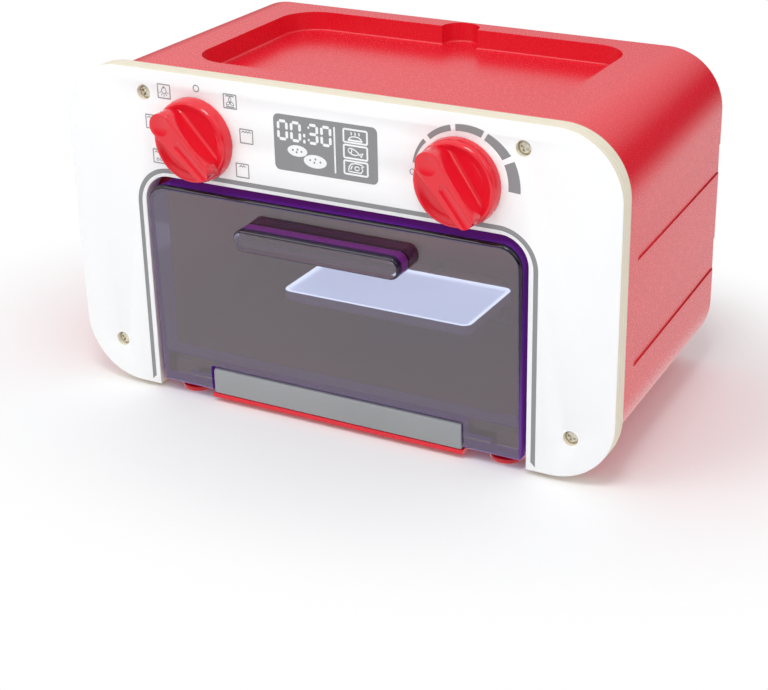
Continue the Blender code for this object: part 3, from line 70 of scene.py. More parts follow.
# Table and room: a white sweep that shows as plain white and keeps the oven's soft shadow, in a room
# that the gloss of the plastic mirrors, dim along its walls and white overhead, and three soft boxes.
bpy.context.scene.view_settings.view_transform = "Standard"
table_size = 6.0
table_white = (0.96, 0.96, 0.965, 1)
table_roughness, table_gloss = 0.7, 0.1
plain_white = (1, 1, 1, 1)
shadow_reach = (0.27, 0.20, 1.0)
lift_start, lift_end, near_lift, far_lift = 0.75, 1.27, 0.04, 1.0
mirrored_near, mirrored_far, mirrored_loss = 0.6, 1.3, 0.6
room_tint, room_strength = (0.97, 0.985, 1.0, 1), 0.64
room_up = (-0.25, 0.0, 1.0)
wall_end, ceiling_start, wall_glow, ceiling_glow = 0.14, 0.42, 0.05, 1.0


def add_node(tree, kind, inputs=None, output=0, operation=None):
    """Add a shader node, each input a value or the socket that feeds it, and return one output."""
    made = tree.nodes.new("ShaderNode" + kind)
    if operation:
        made.operation = operation
    for socket, value in (inputs or {}).items():
        if isinstance(value, bpy.types.NodeSocket):
            tree.links.new(value, made.inputs[socket])
        else:
            made.inputs[socket].default_value = value
    return made.outputs[output]


def map_value(tree, source, from_low, from_high, to_low=0.0, to_high=1.0):
    """Stretch one value's range onto another."""
    ends = {"From Min": from_low, "From Max": from_high, "To Min": to_low, "To Max": to_high}
    return add_node(tree, "MapRange", {"Value": source, **ends}, "Result")


def ray_share(tree, *kinds):
    """1 for rays of the given kinds and 0 for all others."""
    rays = tree.nodes.new("ShaderNodeLightPath").outputs
    share = rays["Is %s Ray" % kinds[0]]
    for kind in kinds[1:]:
        share = add_node(tree, "Math", {0: share, 1: rays["Is %s Ray" % kind]}, operation="MAXIMUM")
    return share


bpy.ops.object.select_all(action="DESELECT")
bpy.ops.mesh.primitive_plane_add(size=table_size, location=(0, 0, 0))
table_top = bpy.context.object
table_top.name = "table_top"
table_paint = bpy.data.materials.new("table_paint")
table_paint.use_nodes = True
paint = table_paint.node_tree
paint_shader = paint.nodes["Principled BSDF"]
paint_shader.inputs["Base Color"].default_value = table_white
paint_shader.inputs["Roughness"].default_value = table_roughness
paint_shader.inputs["Specular IOR Level"].default_value = table_gloss
table_place = add_node(paint, "TexCoord", output="Object")
table_share = add_node(paint, "VectorMath", {0: table_place, 1: shadow_reach}, operation="DIVIDE")
table_distance = add_node(paint, "VectorMath", {0: table_share}, "Value", "LENGTH")
table_lift = map_value(paint, table_distance, lift_start, lift_end, near_lift, far_lift)
table_lift.node.interpolation_type = "SMOOTHSTEP"
seen_rays = ray_share(paint, "Camera", "Glossy", "Transmission")
table_seen = add_node(paint, "Math", {0: table_lift, 1: seen_rays}, operation="MULTIPLY")
gloss_rays = ray_share(paint, "Glossy")
table_shown = add_node(paint, "Math", {0: table_seen, 1: gloss_rays}, operation="MAXIMUM")
table_way = add_node(paint, "VectorMath", {0: table_place}, "Value", "LENGTH")
table_fade = map_value(paint, table_way, mirrored_near, mirrored_far, 0.0, -mirrored_loss)
table_dim = add_node(paint, "Math", {0: table_fade, 1: gloss_rays, 2: 1.0}, operation="MULTIPLY_ADD")
table_glow = add_node(paint, "Emission", {"Color": plain_white, "Strength": table_dim})
table_mix = add_node(paint, "MixShader", {0: table_shown, 1: paint_shader.outputs[0], 2: table_glow})
paint.links.new(table_mix, paint.nodes["Material Output"].inputs["Surface"])
table_top.data.materials.append(table_paint)

world = bpy.data.worlds.new("room")
bpy.context.scene.world = world
world.use_nodes = True
room = world.node_tree
room_light = room.nodes["Background"]
room_light.inputs["Color"].default_value = room_tint
room_light.inputs["Strength"].default_value = room_strength
room_way = add_node(room, "TexCoord", output="Generated")
room_height = add_node(room, "VectorMath", {0: room_way, 1: room_up}, "Value", "DOT_PRODUCT")
room_rise = map_value(room, room_height, wall_end, ceiling_start, wall_glow, ceiling_glow)
room_mirrored = add_node(room, "Background", {"Color": plain_white, "Strength": room_rise})
room_seen = add_node(room, "Background", {"Color": plain_white})
mirror_rays = ray_share(room, "Glossy", "Transmission")
room_mix = add_node(room, "MixShader", {0: mirror_rays, 1: room_light.outputs[0], 2: room_mirrored})
room_last = add_node(room, "MixShader", {0: ray_share(room, "Camera"), 1: room_mix, 2: room_seen})
room.links.new(room_last, room.nodes["World Output"].inputs["Surface"])

oven_middle = Vector((0, 0, 0.09))
soft_boxes = (
    ("left_light", (-0.7, -1.0, 1.3), 0.9, 6.0),
    ("top_light", (0.25, -0.75, 1.6), 0.45, 6.6),
    ("right_light", (1.3, -0.7, 0.9), 0.9, 2.0),
)
for name, place, size, power in soft_boxes:
    lamp = bpy.data.lights.new(name, "AREA")
    lamp.shape = "SQUARE"
    lamp.size = size
    lamp.energy = power
    stand = bpy.data.objects.new(name, lamp)
    bpy.context.scene.collection.objects.link(stand)
    stand.location = place
    stand.rotation_euler = (oven_middle - Vector(place)).to_track_quat("-Z", "Y").to_euler()

# Plywood front: one board of white-faced ply with big round corners, an arched window opening,
# counterbores for the screws and two holes for the knob stems. Its sawn edge is left bare.
panel_low, panel_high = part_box("front_panel")
front_y = panel_low.y
panel_foot = panel_low.z
panel_corner = 0.0347
panel_arris = 0.0006
window_half = 0.1125
window_high = panel_foot + 0.1257
window_corner = 0.0155
cut_past = 0.006
screw_places = (
    (-0.1089, panel_foot + 0.1708),
    (0.1089, panel_foot + 0.1708),
    (-0.1366, panel_foot + 0.0233),
    (0.1366, panel_foot + 0.0233),
)
counterbore_radius = 0.0040
counterbore_depth = 0.0040
knob_height = panel_foot + 0.1493
knob_places = {"mode": -0.0776, "timer": 0.0750}
stem_hole_radius = 0.0038
screw_way_radius = 0.0018
lip_round = 0.00035
paper_start, paper_end = 0.0003, 0.0005
hair_gap = 0.0003


def start_shape():
    """Leave any edit mode and select nothing, ready to add the next form."""
    if bpy.context.mode != "OBJECT":
        bpy.ops.object.mode_set(mode="OBJECT")
    bpy.ops.object.select_all(action="DESELECT")


def pick(piece, mode="OBJECT"):
    """Select one piece alone, to place it or, in edit mode, to shape it."""
    start_shape()
    bpy.context.view_layer.objects.active = piece
    piece.select_set(True)
    bpy.ops.object.mode_set(mode=mode)


def settle():
    """Write a form's place, turn and size into its points."""
    bpy.ops.object.transform_apply(location=True, rotation=True, scale=True)


def add_form(name, operator, stretch=(1, 1, 1), mode="OBJECT", **settings):
    """Add a primitive under a name, stretched along its own axes."""
    start_shape()
    operator(**settings)
    made = bpy.context.object
    made.name = name
    made.scale = stretch
    settle()
    bpy.ops.object.mode_set(mode=mode)
    return made


def choose_all(kind=None):
    """In edit mode, select everything, as points, edges or faces."""
    if kind:
        bpy.ops.mesh.select_mode(type=kind)
    bpy.ops.mesh.select_all(action="SELECT")


def face_out():
    """In edit mode, turn every face outwards."""
    choose_all()
    bpy.ops.mesh.normals_make_consistent(inside=False)


def push(way):
    """In edit mode, pull new walls out of what is selected."""
    bpy.ops.mesh.extrude_region_move(TRANSFORM_OT_translate={"value": way})


def thicken(way):
    """In edit mode, push the whole sheet along a way to make a solid of it."""
    choose_all()
    push(way)
    face_out()


def choose(piece, kind, test):
    """In edit mode, select only the points, edges or faces whose middle passes a test."""
    bpy.ops.mesh.select_mode(type=kind)
    bpy.ops.mesh.select_all(action="DESELECT")
    shape = bmesh.from_edit_mesh(piece.data)
    if kind == "VERT":
        for point in shape.verts:
            point.select_set(test(point.co))
    elif kind == "EDGE":
        for edge in shape.edges:
            edge.select_set(test((edge.verts[0].co + edge.verts[1].co) / 2, edge))
    else:
        for face in shape.faces:
            face.select_set(test(face.calc_center_median(), face))
    shape.select_flush_mode()
    bmesh.update_edit_mesh(piece.data)


same_place = 1e-5


def on_corner(spot, left, right, low, high):
    """True for one of a sheet's own four corners."""
    return (min(abs(spot.x - left), abs(spot.x - right)) < same_place
            and min(abs(spot.z - low), abs(spot.z - high)) < same_place)


def face_sheet(name, left, right, low, high, y, low_corner, high_corner, steps):
    """One upright face that looks to the front, with its corners rounded."""
    middle = ((left + right) / 2, y, (low + high) / 2)
    sheet = add_form(
        name, bpy.ops.mesh.primitive_plane_add, (right - left, high - low, 1), "EDIT",
        size=1, location=middle, rotation=(pi / 2, 0, 0)
    )
    for corner, upper in ((low_corner, False), (high_corner, True)):
        if corner:
            choose(sheet, "VERT", lambda spot: (
                (spot.z > middle[2]) == upper and on_corner(spot, left, right, low, high)
            ))
            bpy.ops.mesh.bevel(offset=corner, segments=steps, affect="VERTICES")
    return sheet


def board(name, left, right, low, high, front, back, low_corner, high_corner, steps=16):
    """A face sheet pushed back to its thickness."""
    made = face_sheet(name, left, right, low, high, front, low_corner, high_corner, steps)
    thicken((0, back - front, 0))
    return made


def ease_edges(piece, width, steps, test=None, least=radians(50)):
    """Round the sharp edges of a piece in edit mode."""
    choose(piece, "EDGE", lambda middle, edge: (
        len(edge.link_faces) == 2 and edge.calc_face_angle(0) > least and (test is None or test(middle))
    ))
    bpy.ops.mesh.bevel(offset=width, segments=steps, affect="EDGES")


def rod(name, radius, start, end, place, sides=48):
    """A round bar along the depth of the oven."""
    return add_form(
        name, bpy.ops.mesh.primitive_cylinder_add, vertices=sides, radius=radius, depth=end - start,
        location=(place[0], (start + end) / 2, place[1]), rotation=(pi / 2, 0, 0)
    )


def work_into(piece, tool, operation="DIFFERENCE"):
    """Cut or join one piece with another, which is used up."""
    pick(piece)
    step = piece.modifiers.new("step", "BOOLEAN")
    step.operation = operation
    step.solver = "EXACT"
    step.object = tool
    bpy.ops.object.modifier_apply(modifier=step.name)
    bpy.data.objects.remove(tool)


def soften(piece, width, steps, angle=radians(45)):
    """Round every edge of a finished piece that is still sharp."""
    pick(piece)
    step = piece.modifiers.new("soften", "BEVEL")
    step.width = width
    step.segments = steps
    step.limit_method = "ANGLE"
    step.angle_limit = angle
    bpy.ops.object.modifier_apply(modifier=step.name)


def smooth_shade(piece, angle=radians(40)):
    """Shade a piece smooth except over its corners."""
    pick(piece)
    bpy.ops.object.shade_smooth_by_angle(angle=angle)


def finish_piece(piece, material, body, slot, *nodes):
    """Give a piece its material and its body, and hide the nodes that it stands for. The slot is not used.
    """
    start_shape()
    piece.data.materials.clear()
    piece.data.materials.append(material)
    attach(piece, body)
    if nodes:
        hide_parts(*nodes)


def fine_noise():
    """The faint unevenness of moulded, painted or sawn surfaces, as one group that finishes share."""
    group = bpy.data.node_groups.new("fine_noise", "ShaderNodeTree")
    for name, way, kind in (
        ("Scale", "INPUT", "Float"), ("Stretch", "INPUT", "Vector"),
        ("Patch", "OUTPUT", "Float"), ("Grain", "OUTPUT", "Float"),
    ):
        group.interface.new_socket(name, in_out=way, socket_type="NodeSocket" + kind)
    given = group.nodes.new("NodeGroupInput").outputs
    result = group.nodes.new("NodeGroupOutput").inputs
    place = add_node(group, "TexCoord", output="Object")
    stretched = add_node(group, "VectorMath", {0: place, 1: given["Stretch"]}, operation="MULTIPLY")
    patch = {"Vector": stretched, "Scale": 9.0, "Detail": 3.0}
    grain = {"Vector": stretched, "Scale": given["Scale"], "Detail": 4.0, "Roughness": 0.55}
    group.links.new(add_node(group, "TexNoise", patch, "Fac"), result["Patch"])
    group.links.new(add_node(group, "TexNoise", grain, "Fac"), result["Grain"])
    return group


surface_noise = fine_noise()
noise_spread = (0.3, 0.7)


def linear(colour):
    """An sRGB colour, from 0 to 255, as the values that a shader takes."""
    parts = [part / 255 for part in colour]
    return tuple(((p + 0.055) / 1.055) ** 2.4 if p > 0.04045 else p / 12.92 for p in parts) + (1.0,)


def new_finish(name, roughness, **values):
    """A Principled material with plain values on the shader's own sockets."""
    material = bpy.data.materials.new(name)
    material.use_nodes = True
    shader = material.node_tree.nodes["Principled BSDF"]
    shader.inputs["Roughness"].default_value = roughness
    for socket, value in values.items():
        shader.inputs[socket.replace("_", " ")].default_value = value
    return material, material.node_tree, shader


def feed(shader, **sources):
    """Link sockets to a shader's inputs, which are named."""
    for name, source in sources.items():
        shader.id_data.links.new(source, shader.inputs[name.replace("_", " ")])


def add_noise(tree, scale, stretch=(1, 1, 1)):
    """Place the shared unevenness in a material."""
    noise = tree.nodes.new("ShaderNodeGroup")
    noise.node_tree = surface_noise
    noise.inputs["Scale"].default_value = scale
    noise.inputs["Stretch"].default_value = stretch
    return noise.outputs


def mix_colour(tree, factor, first, second):
    """Blend two colours, each a socket or a plain colour from 0 to 255."""
    step = tree.nodes.new("ShaderNodeMix")
    step.data_type = "RGBA"
    tree.links.new(factor, step.inputs["Factor"])
    for name, value in (("A", first), ("B", second)):
        if isinstance(value, tuple):
            step.inputs[name].default_value = linear(value)
        else:
            tree.links.new(value, step.inputs[name])
    return step.outputs["Result"]


def add_bump(shader, height, distance, strength):
    """Raise the surface by a height value."""
    values = {"Strength": strength, "Distance": distance, "Height": height}
    feed(shader, Normal=add_node(shader.id_data, "Bump", values, "Normal"))


def plastic(name, colour, shade, roughness, grain_scale, grain_depth, coat=0.0):
    """A moulded plastic: a body colour that varies a little, a fine skin and uneven gloss."""
    material, tree, shader = new_finish(name, roughness, Coat_Weight=coat, Coat_Roughness=0.12)
    noise = add_noise(tree, grain_scale)
    patch = map_value(tree, noise["Patch"], 0.35, 0.65)
    gloss = map_value(tree, noise["Grain"], *noise_spread, roughness * 0.88, roughness * 1.12)
    feed(shader, Base_Color=mix_colour(tree, patch, colour, shade), Roughness=gloss)
    add_bump(shader, noise["Grain"], grain_depth, 0.35)
    return material


def faced_plywood():
    """White face paper over ply: the sawn edge shows its layers and its grain."""
    material, tree, shader = new_finish("faced_plywood", 0.4)
    noise = add_noise(tree, 900.0)
    place = add_node(tree, "TexCoord", output="Object")
    depth = add_node(tree, "SeparateXYZ", {0: place}, "Y")
    paper = map_value(tree, depth, front_y + paper_start, front_y + paper_end)
    layers = map_value(tree, depth, front_y, panel_high.y, 0.0, 7.0 * pi)
    wave = add_node(tree, "Math", {0: layers}, operation="SINE")
    streaks = add_noise(tree, 260.0, (0.6, 6.0, 0.6))["Grain"]
    cream = mix_colour(tree, map_value(tree, wave, -0.5, 0.9), (244, 238, 222), (236, 227, 204))
    wood = mix_colour(tree, map_value(tree, streaks, 0.35, 0.7, 0.0, 0.45), cream, (224, 206, 172))
    white = mix_colour(tree, map_value(tree, noise["Patch"], 0.4, 0.6), (252, 252, 252), (250, 250, 251))
    gloss = map_value(tree, paper, 0.0, 1.0, 0.5, 0.75)
    feed(shader, Base_Color=mix_colour(tree, paper, white, wood), Roughness=gloss)
    add_bump(shader, streaks, 0.00006, 0.25)
    return material


front = board(
    "plywood_front", panel_low.x, panel_high.x, panel_low.z, panel_high.z,
    panel_low.y, panel_high.y, panel_corner, panel_corner, 24
)
ease_edges(front, panel_arris, 3)
work_into(front, board(
    "window", -window_half, window_half, panel_foot - cut_past, window_high,
    front_y - cut_past, panel_high.y + cut_past, 0, window_corner
))
for place in screw_places:
    work_into(front, rod("sink", counterbore_radius, front_y - cut_past, front_y + counterbore_depth, place))
    work_into(front, rod("way", screw_way_radius, front_y, panel_high.y + cut_past, place, 24))
for x in knob_places.values():
    stem_place = (x, knob_height)
    work_into(front, rod(
        "way", stem_hole_radius, front_y - cut_past, panel_high.y + cut_past, stem_place, 32
    ))
soften(front, lip_round, 2)
smooth_shade(front)
finish_piece(front, faced_plywood(), "oven", "white_plywood", "front_panel")

# Red housing: one deep injection moulding, open to the front, that narrows towards the back. It has
# the tray recess with its finger notch, two louvre grooves a side and the sill that the grey bar sits on.
housing_front = panel_high.y + hair_gap
housing_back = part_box("housing")[1].y
housing_base = panel_foot + 0.0040
housing_wall = 0.0026
front_half, front_top, front_corner = 0.1590, panel_foot + 0.1806, 0.0380
rear_half, rear_top, rear_corner = 0.1512, panel_foot + 0.1799, 0.0320
rear_edge = 0.0050
recess_half = 0.1047
recess_front, recess_back = front_y + 0.0350, front_y + 0.1532
recess_corner = 0.0210
recess_floor = panel_foot + 0.1688
recess_wall = 0.0024
recess_foot_edge = 0.0014
notch_half, notch_back, notch_corner = 0.0112, front_y + 0.1645, 0.0108
lip_edge = 0.0007
groove_tops = (panel_foot + 0.1290, panel_foot + 0.0743)
groove_heights = (0.0165, 0.0186)
groove_depth, groove_foot, groove_over = 0.0011, 0.0008, 0.001
groove_start = front_y + 0.0270
groove_edge, groove_near = 0.0002, 0.0006
sill_half, sill_back, sill_thickness, sill_inset = 0.0770, front_y + 0.026, 0.0024, 0.0002
hatch_corner = 0.0015
past_top = front_top + cut_past
groove_lines = [high - height for high, height in zip(groove_tops, groove_heights)]
groove_lines += groove_tops


def housing_share(y):
    """How far a depth lies from the housing's rim to its back."""
    return (y - housing_front) / (housing_back - housing_front)


def join_forms(name, parts):
    """Make one object of several."""
    start_shape()
    for part in parts:
        part.select_set(True)
    bpy.context.view_layer.objects.active = parts[0]
    bpy.ops.object.join()
    parts[0].name = name
    return parts[0]


def housing_form(name, start, end, inset, edge, steps):
    """The tapered body: two rounded outlines bridged, closed at both ends, its back edge rounded."""
    sheets = []
    for y in (start, end):
        share = housing_share(y)
        half = front_half + (rear_half - front_half) * share - inset
        top = front_top + (rear_top - front_top) * share - inset
        corner = front_corner + (rear_corner - front_corner) * share - inset
        sheets.append(face_sheet(name, -half, half, housing_base + inset, top, y, corner, corner, steps))
    body = join_forms(name, sheets)
    bpy.ops.object.mode_set(mode="EDIT")
    choose_all("EDGE")
    bpy.ops.mesh.bridge_edge_loops()
    face_out()
    ease_edges(body, edge, 6, lambda middle: abs(middle.y - end) < 1e-4)
    return body


def sunk_pocket(name, half, start, end, corner, grow=0.0, floor_edge=0.0):
    """A pocket's form seen from above, for cutting, with its foot rounded."""
    low = recess_floor - grow
    tool = add_form(
        name, bpy.ops.mesh.primitive_plane_add, (2 * (half + grow), end - start + 2 * grow, 1), "EDIT",
        size=1, location=(0, (start + end) / 2, past_top)
    )
    choose_all()
    bpy.ops.mesh.bevel(offset=corner + grow, segments=18, affect="VERTICES")
    thicken((0, 0, low - past_top))
    if floor_edge:
        ease_edges(tool, floor_edge, 5, lambda middle: abs(middle.z - low) < same_place)
    return tool


def groove_cutter(side, high, height):
    """A shallow sunk band that runs along one side from near the front and out at the back."""
    tool = add_form("groove", bpy.ops.mesh.primitive_cube_add, size=1)
    for point in tool.data.vertices:
        y = groove_start if point.co.y < 0 else housing_back + cut_past
        surface = front_half + (rear_half - front_half) * housing_share(y)
        high_up = point.co.z > 0
        depth = groove_depth if high_up else groove_foot
        x = surface + groove_over if point.co.x > 0 else surface - depth
        point.co = (side * x, y, high if high_up else high - height)
    pick(tool, "EDIT")
    face_out()
    return tool


def near_groove(middle):
    """True on the housing's sides near the upper or lower line of a groove."""
    on_side = abs(middle.x) > rear_half - 2 * groove_depth and middle.y > groove_start - groove_near
    return on_side and min(abs(middle.z - line) for line in groove_lines) < groove_near


def level_shading(piece):
    """Keep the shading of a piece's broad flat faces level, so that they mirror and bend light evenly."""
    pick(piece)
    step = piece.modifiers.new("level", "WEIGHTED_NORMAL")
    step.keep_sharp = True
    step.weight = 100
    bpy.ops.object.modifier_apply(modifier=step.name)


shell = housing_form("red_housing", housing_front, housing_back, 0, rear_edge, 20)
hollow = housing_form(
    "hollow", housing_front - cut_past, housing_back - housing_wall, housing_wall,
    rear_edge - housing_wall, 12
)
recess = (recess_half, recess_front, recess_back, recess_corner)
finger_notch = (notch_half, recess_back - notch_half, notch_back, notch_corner)
for pocket in (recess, finger_notch):
    work_into(hollow, sunk_pocket("pocket_wall", *pocket, recess_wall))
work_into(shell, hollow)
for pocket in (recess, finger_notch):
    work_into(shell, sunk_pocket("pocket", *pocket, floor_edge=recess_foot_edge))
work_into(shell, board(
    "sill", -sill_half, sill_half, panel_foot, panel_foot + sill_thickness, front_y, sill_back, 0, 0
), "UNION")
work_into(shell, board(
    "sill_root", -sill_half + sill_inset, sill_half - sill_inset, panel_foot + sill_thickness / 2,
    housing_base + housing_wall / 2, panel_high.y, sill_back - sill_inset, 0, 0
), "UNION")
battery_low, battery_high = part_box("battery_door")
work_into(shell, board(
    "hatch", battery_low.x - hair_gap, battery_high.x + hair_gap, battery_low.z - hair_gap,
    battery_high.z + hair_gap, housing_back - housing_wall - cut_past, housing_back + cut_past,
    hatch_corner, hatch_corner, 4
))
soften(shell, lip_edge, 3, radians(60))
for side in (-1, 1):
    for high, height in zip(groove_tops, groove_heights):
        work_into(shell, groove_cutter(side, high, height))
pick(shell, "EDIT")
ease_edges(shell, groove_edge, 2, near_groove)
smooth_shade(shell, radians(35))
level_shading(shell)
red_plastic = plastic("red_plastic", (230, 26, 46), (227, 23, 43), 0.26, 1400.0, 0.000006)
finish_piece(shell, red_plastic, "oven", "red_plastic", "housing")

# Feet: six low round pads, moulded in the same red plastic as the housing with rounded edges.
# Each stands under the housing.
pad_top, pad_edge = panel_foot - hair_gap, 0.0007
for number in range(1, 7):
    foot_low, foot_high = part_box("foot_%d" % number)
    pad = add_form(
        "foot_pad_%d" % number, bpy.ops.mesh.primitive_cylinder_add, mode="EDIT", vertices=48,
        radius=(foot_high.x - foot_low.x) / 2, depth=pad_top,
        location=((foot_low.x + foot_high.x) / 2, (foot_low.y + foot_high.y) / 2, pad_top / 2)
    )
    ease_edges(pad, pad_edge, 3)
    smooth_shade(pad)
    finish_piece(pad, red_plastic, "oven", "red_plastic", "foot_%d" % number)

# Screws of the front: nickel-plated steel, with a domed head and a cross recess. Each sits sunk in
# its counterbore, and its shank runs back through the plywood.
screw_radius, screw_height, shank_radius, shank_length = 0.0034, 0.0016, 0.0015, 0.024
dome_share, slot_width, slot_reach, slot_depth = 0.55, 0.40, 0.66, 0.7


def varied(name, roughness, scale, layer, first, second, gloss_layer=None, gloss=(), **values):
    """A finish whose colour varies a little over the piece, and its gloss too where a range is given."""
    material, tree, shader = new_finish(name, roughness, **values)
    noise = add_noise(tree, scale)
    feed(shader, Base_Color=mix_colour(tree, noise[layer], first, second))
    if gloss_layer:
        feed(shader, Roughness=map_value(tree, noise[gloss_layer], *noise_spread, *gloss))
    return material


nickel = varied(
    "nickel", 0.3, 2200.0, "Grain", (232, 228, 216), (206, 198, 178), "Patch", (0.22, 0.38), Metallic=1.0
)
seat = front_y + counterbore_depth - hair_gap
crown = seat - screw_height
for number, place in enumerate(screw_places, 1):
    screw = rod("front_screw_%d" % number, screw_radius, crown, seat, place)
    pick(screw, "EDIT")
    ease_edges(screw, screw_height * dome_share, 5, lambda middle: abs(middle.y - crown) < same_place)
    for turn in (radians(20), radians(110)):
        work_into(screw, add_form(
            "slot", bpy.ops.mesh.primitive_cube_add,
            (2 * screw_radius * slot_reach, 2 * screw_height * slot_depth, screw_radius * slot_width),
            size=1, location=(place[0], crown, place[1]), rotation=(0, turn, 0)
        ))
    work_into(screw, rod(
        "shank", shank_radius, seat - screw_height / 3, seat + shank_length, place, 24
    ), "UNION")
    smooth_shade(screw)
    finish_piece(screw, nickel, "oven", "nickel_steel", "panel_screw_%d" % number)

# Print on the front: grey ink in thin lines. A line follows the window, marks stand round the left
# knob, a scale grows round the right one, and a display with a time and three dishes lies between.
ink_rise = 0.00006
joint_lift = 1.3


def print_from(sheet, rise=ink_rise):
    """Give a flat print its ink thickness, towards the front."""
    thicken((0, -rise, 0))
    return sheet


def print_frame(left, right, low, high, y, width, low_corner, high_corner, steps=10):
    """A printed line of one width round a rounded box."""
    sheet = face_sheet("print", left, right, low, high, y, low_corner, high_corner, steps)
    choose_all("FACE")
    bpy.ops.mesh.inset(thickness=width, use_even_offset=True)
    bpy.ops.mesh.delete(type="FACE")
    return sheet


def print_disc(x, z, radius, y, hole=0.0, sides=48):
    """A printed dot, or a ring if it has a hole."""
    sheet = add_form(
        "print", bpy.ops.mesh.primitive_circle_add, mode="EDIT", vertices=sides, radius=radius,
        fill_type="NGON", location=(x, y, z), rotation=(pi / 2, 0, 0)
    )
    if hole:
        choose_all("FACE")
        bpy.ops.mesh.inset(thickness=radius - hole)
        bpy.ops.mesh.delete(type="FACE")
    return sheet


def print_stroke(points, width, y):
    """A printed line through points: one round-ended bar, or bars with round joints a hair higher."""
    parts = []
    lone = len(points) == 2
    for (x1, z1), (x2, z2) in zip(points, points[1:]):
        length = hypot(x2 - x1, z2 - z1)
        bar = add_form(
            "print", bpy.ops.mesh.primitive_plane_add, (length + width if lone else length, width, 1),
            size=1, rotation=(pi / 2, 0, 0)
        )
        bar.location = ((x1 + x2) / 2, y, (z1 + z2) / 2)
        bar.rotation_euler = (0, -atan2(z2 - z1, x2 - x1), 0)
        settle()
        bpy.ops.object.mode_set(mode="EDIT")
        if lone:
            choose_all()
            bpy.ops.mesh.bevel(offset=width * 0.499, segments=7, affect="VERTICES")
        parts.append(print_from(bar))
    for x, z in [] if lone else points:
        parts.append(print_from(print_disc(x, z, width / 2, y, sides=12), ink_rise * joint_lift))
    return parts


def print_arc(x, z, start, end, low_inner, high_inner, low_outer, high_outer, y, steps=16):
    """A printed piece of ring whose radii grow along its sweep."""
    sheet = add_form(
        "print", bpy.ops.mesh.primitive_grid_add, x_subdivisions=steps, y_subdivisions=1, size=1
    )
    for point in sheet.data.vertices:
        share = point.co.x + 0.5
        inner = low_inner + (high_inner - low_inner) * share
        outer = low_outer + (high_outer - low_outer) * share
        radius = outer if point.co.y > 0 else inner
        turn = start + (end - start) * share
        point.co = (x + radius * cos(turn), y, z + radius * sin(turn))
    bpy.ops.object.mode_set(mode="EDIT")
    return sheet


ink_y = front_y
window_line = print_frame(
    -0.1177, 0.1177, panel_foot - 0.004, panel_foot + 0.1303, ink_y, 0.0025, 0, 0.0215, 16
)
choose(window_line, "VERT", lambda spot: spot.z < panel_foot)
bpy.ops.transform.translate(value=(0, 0, 0.0065))
choose(window_line, "FACE", lambda middle, face: abs(middle.x) < 0.110 and middle.z < panel_foot + 0.01)
bpy.ops.mesh.delete(type="FACE")
grey_prints = [print_from(window_line)]

timer_x = knob_places["timer"]
scale_z = panel_foot + 0.1500
scale_parts = (
    (167.5, 136.0, 0.0247, 0.0243, 0.0256, 0.0265),
    (129.3, 99.2, 0.0240, 0.0247, 0.0266, 0.0278),
    (93.6, 62.8, 0.0247, 0.0259, 0.0281, 0.0299),
    (58.6, 30.3, 0.0260, 0.0268, 0.0300, 0.0321),
    (24.8, -3.8, 0.0266, 0.0265, 0.0325, 0.0329),
)
for start, end, *radii in scale_parts:
    grey_prints.append(print_from(print_arc(timer_x, scale_z, radians(start), radians(end), *radii, ink_y)))
grey_prints.append(print_from(print_disc(0.0499, panel_foot + 0.1506, 0.00165, ink_y, 0.00120)))
grey_prints.append(print_from(print_disc(-0.07535, panel_foot + 0.1770, 0.00200, ink_y, 0.00140)))

mark_half_width, mark_half_height, mark_line, thin_line = 0.0041, 0.0040, 0.00060, 0.00046
mark_boxes = (
    (-0.0957, 0.1729, "lamp"),
    (-0.0549, 0.1727, "fan"),
    (-0.0460, 0.1552, "grill"),
    (-0.0495, 0.1363, "small_grill"),
    (-0.1047, 0.1553, "grill"),
    (-0.1016, 0.1366, "grill_and_fan"),
)


def wave_line(x, z, length, teeth, height):
    """A short zigzag, the usual sign for a heating coil."""
    step = length / (2 * teeth)
    rise = [height / 2 if number % 2 else -height / 2 for number in range(2 * teeth + 1)]
    return print_stroke(
        [(x - length / 2 + step * number, z + up) for number, up in enumerate(rise)], thin_line, ink_y
    )


def small_loop(x, z, half_x, half_z, lean, width, y, sides=14):
    """A printed oval line that leans by an angle."""
    points = []
    for step in range(sides + 1):
        turn = 2 * pi * step / sides
        across, up = half_x * cos(turn), half_z * sin(turn)
        points.append((x + across * cos(lean) - up * sin(lean), z + across * sin(lean) + up * cos(lean)))
    return print_stroke(points, width, y)


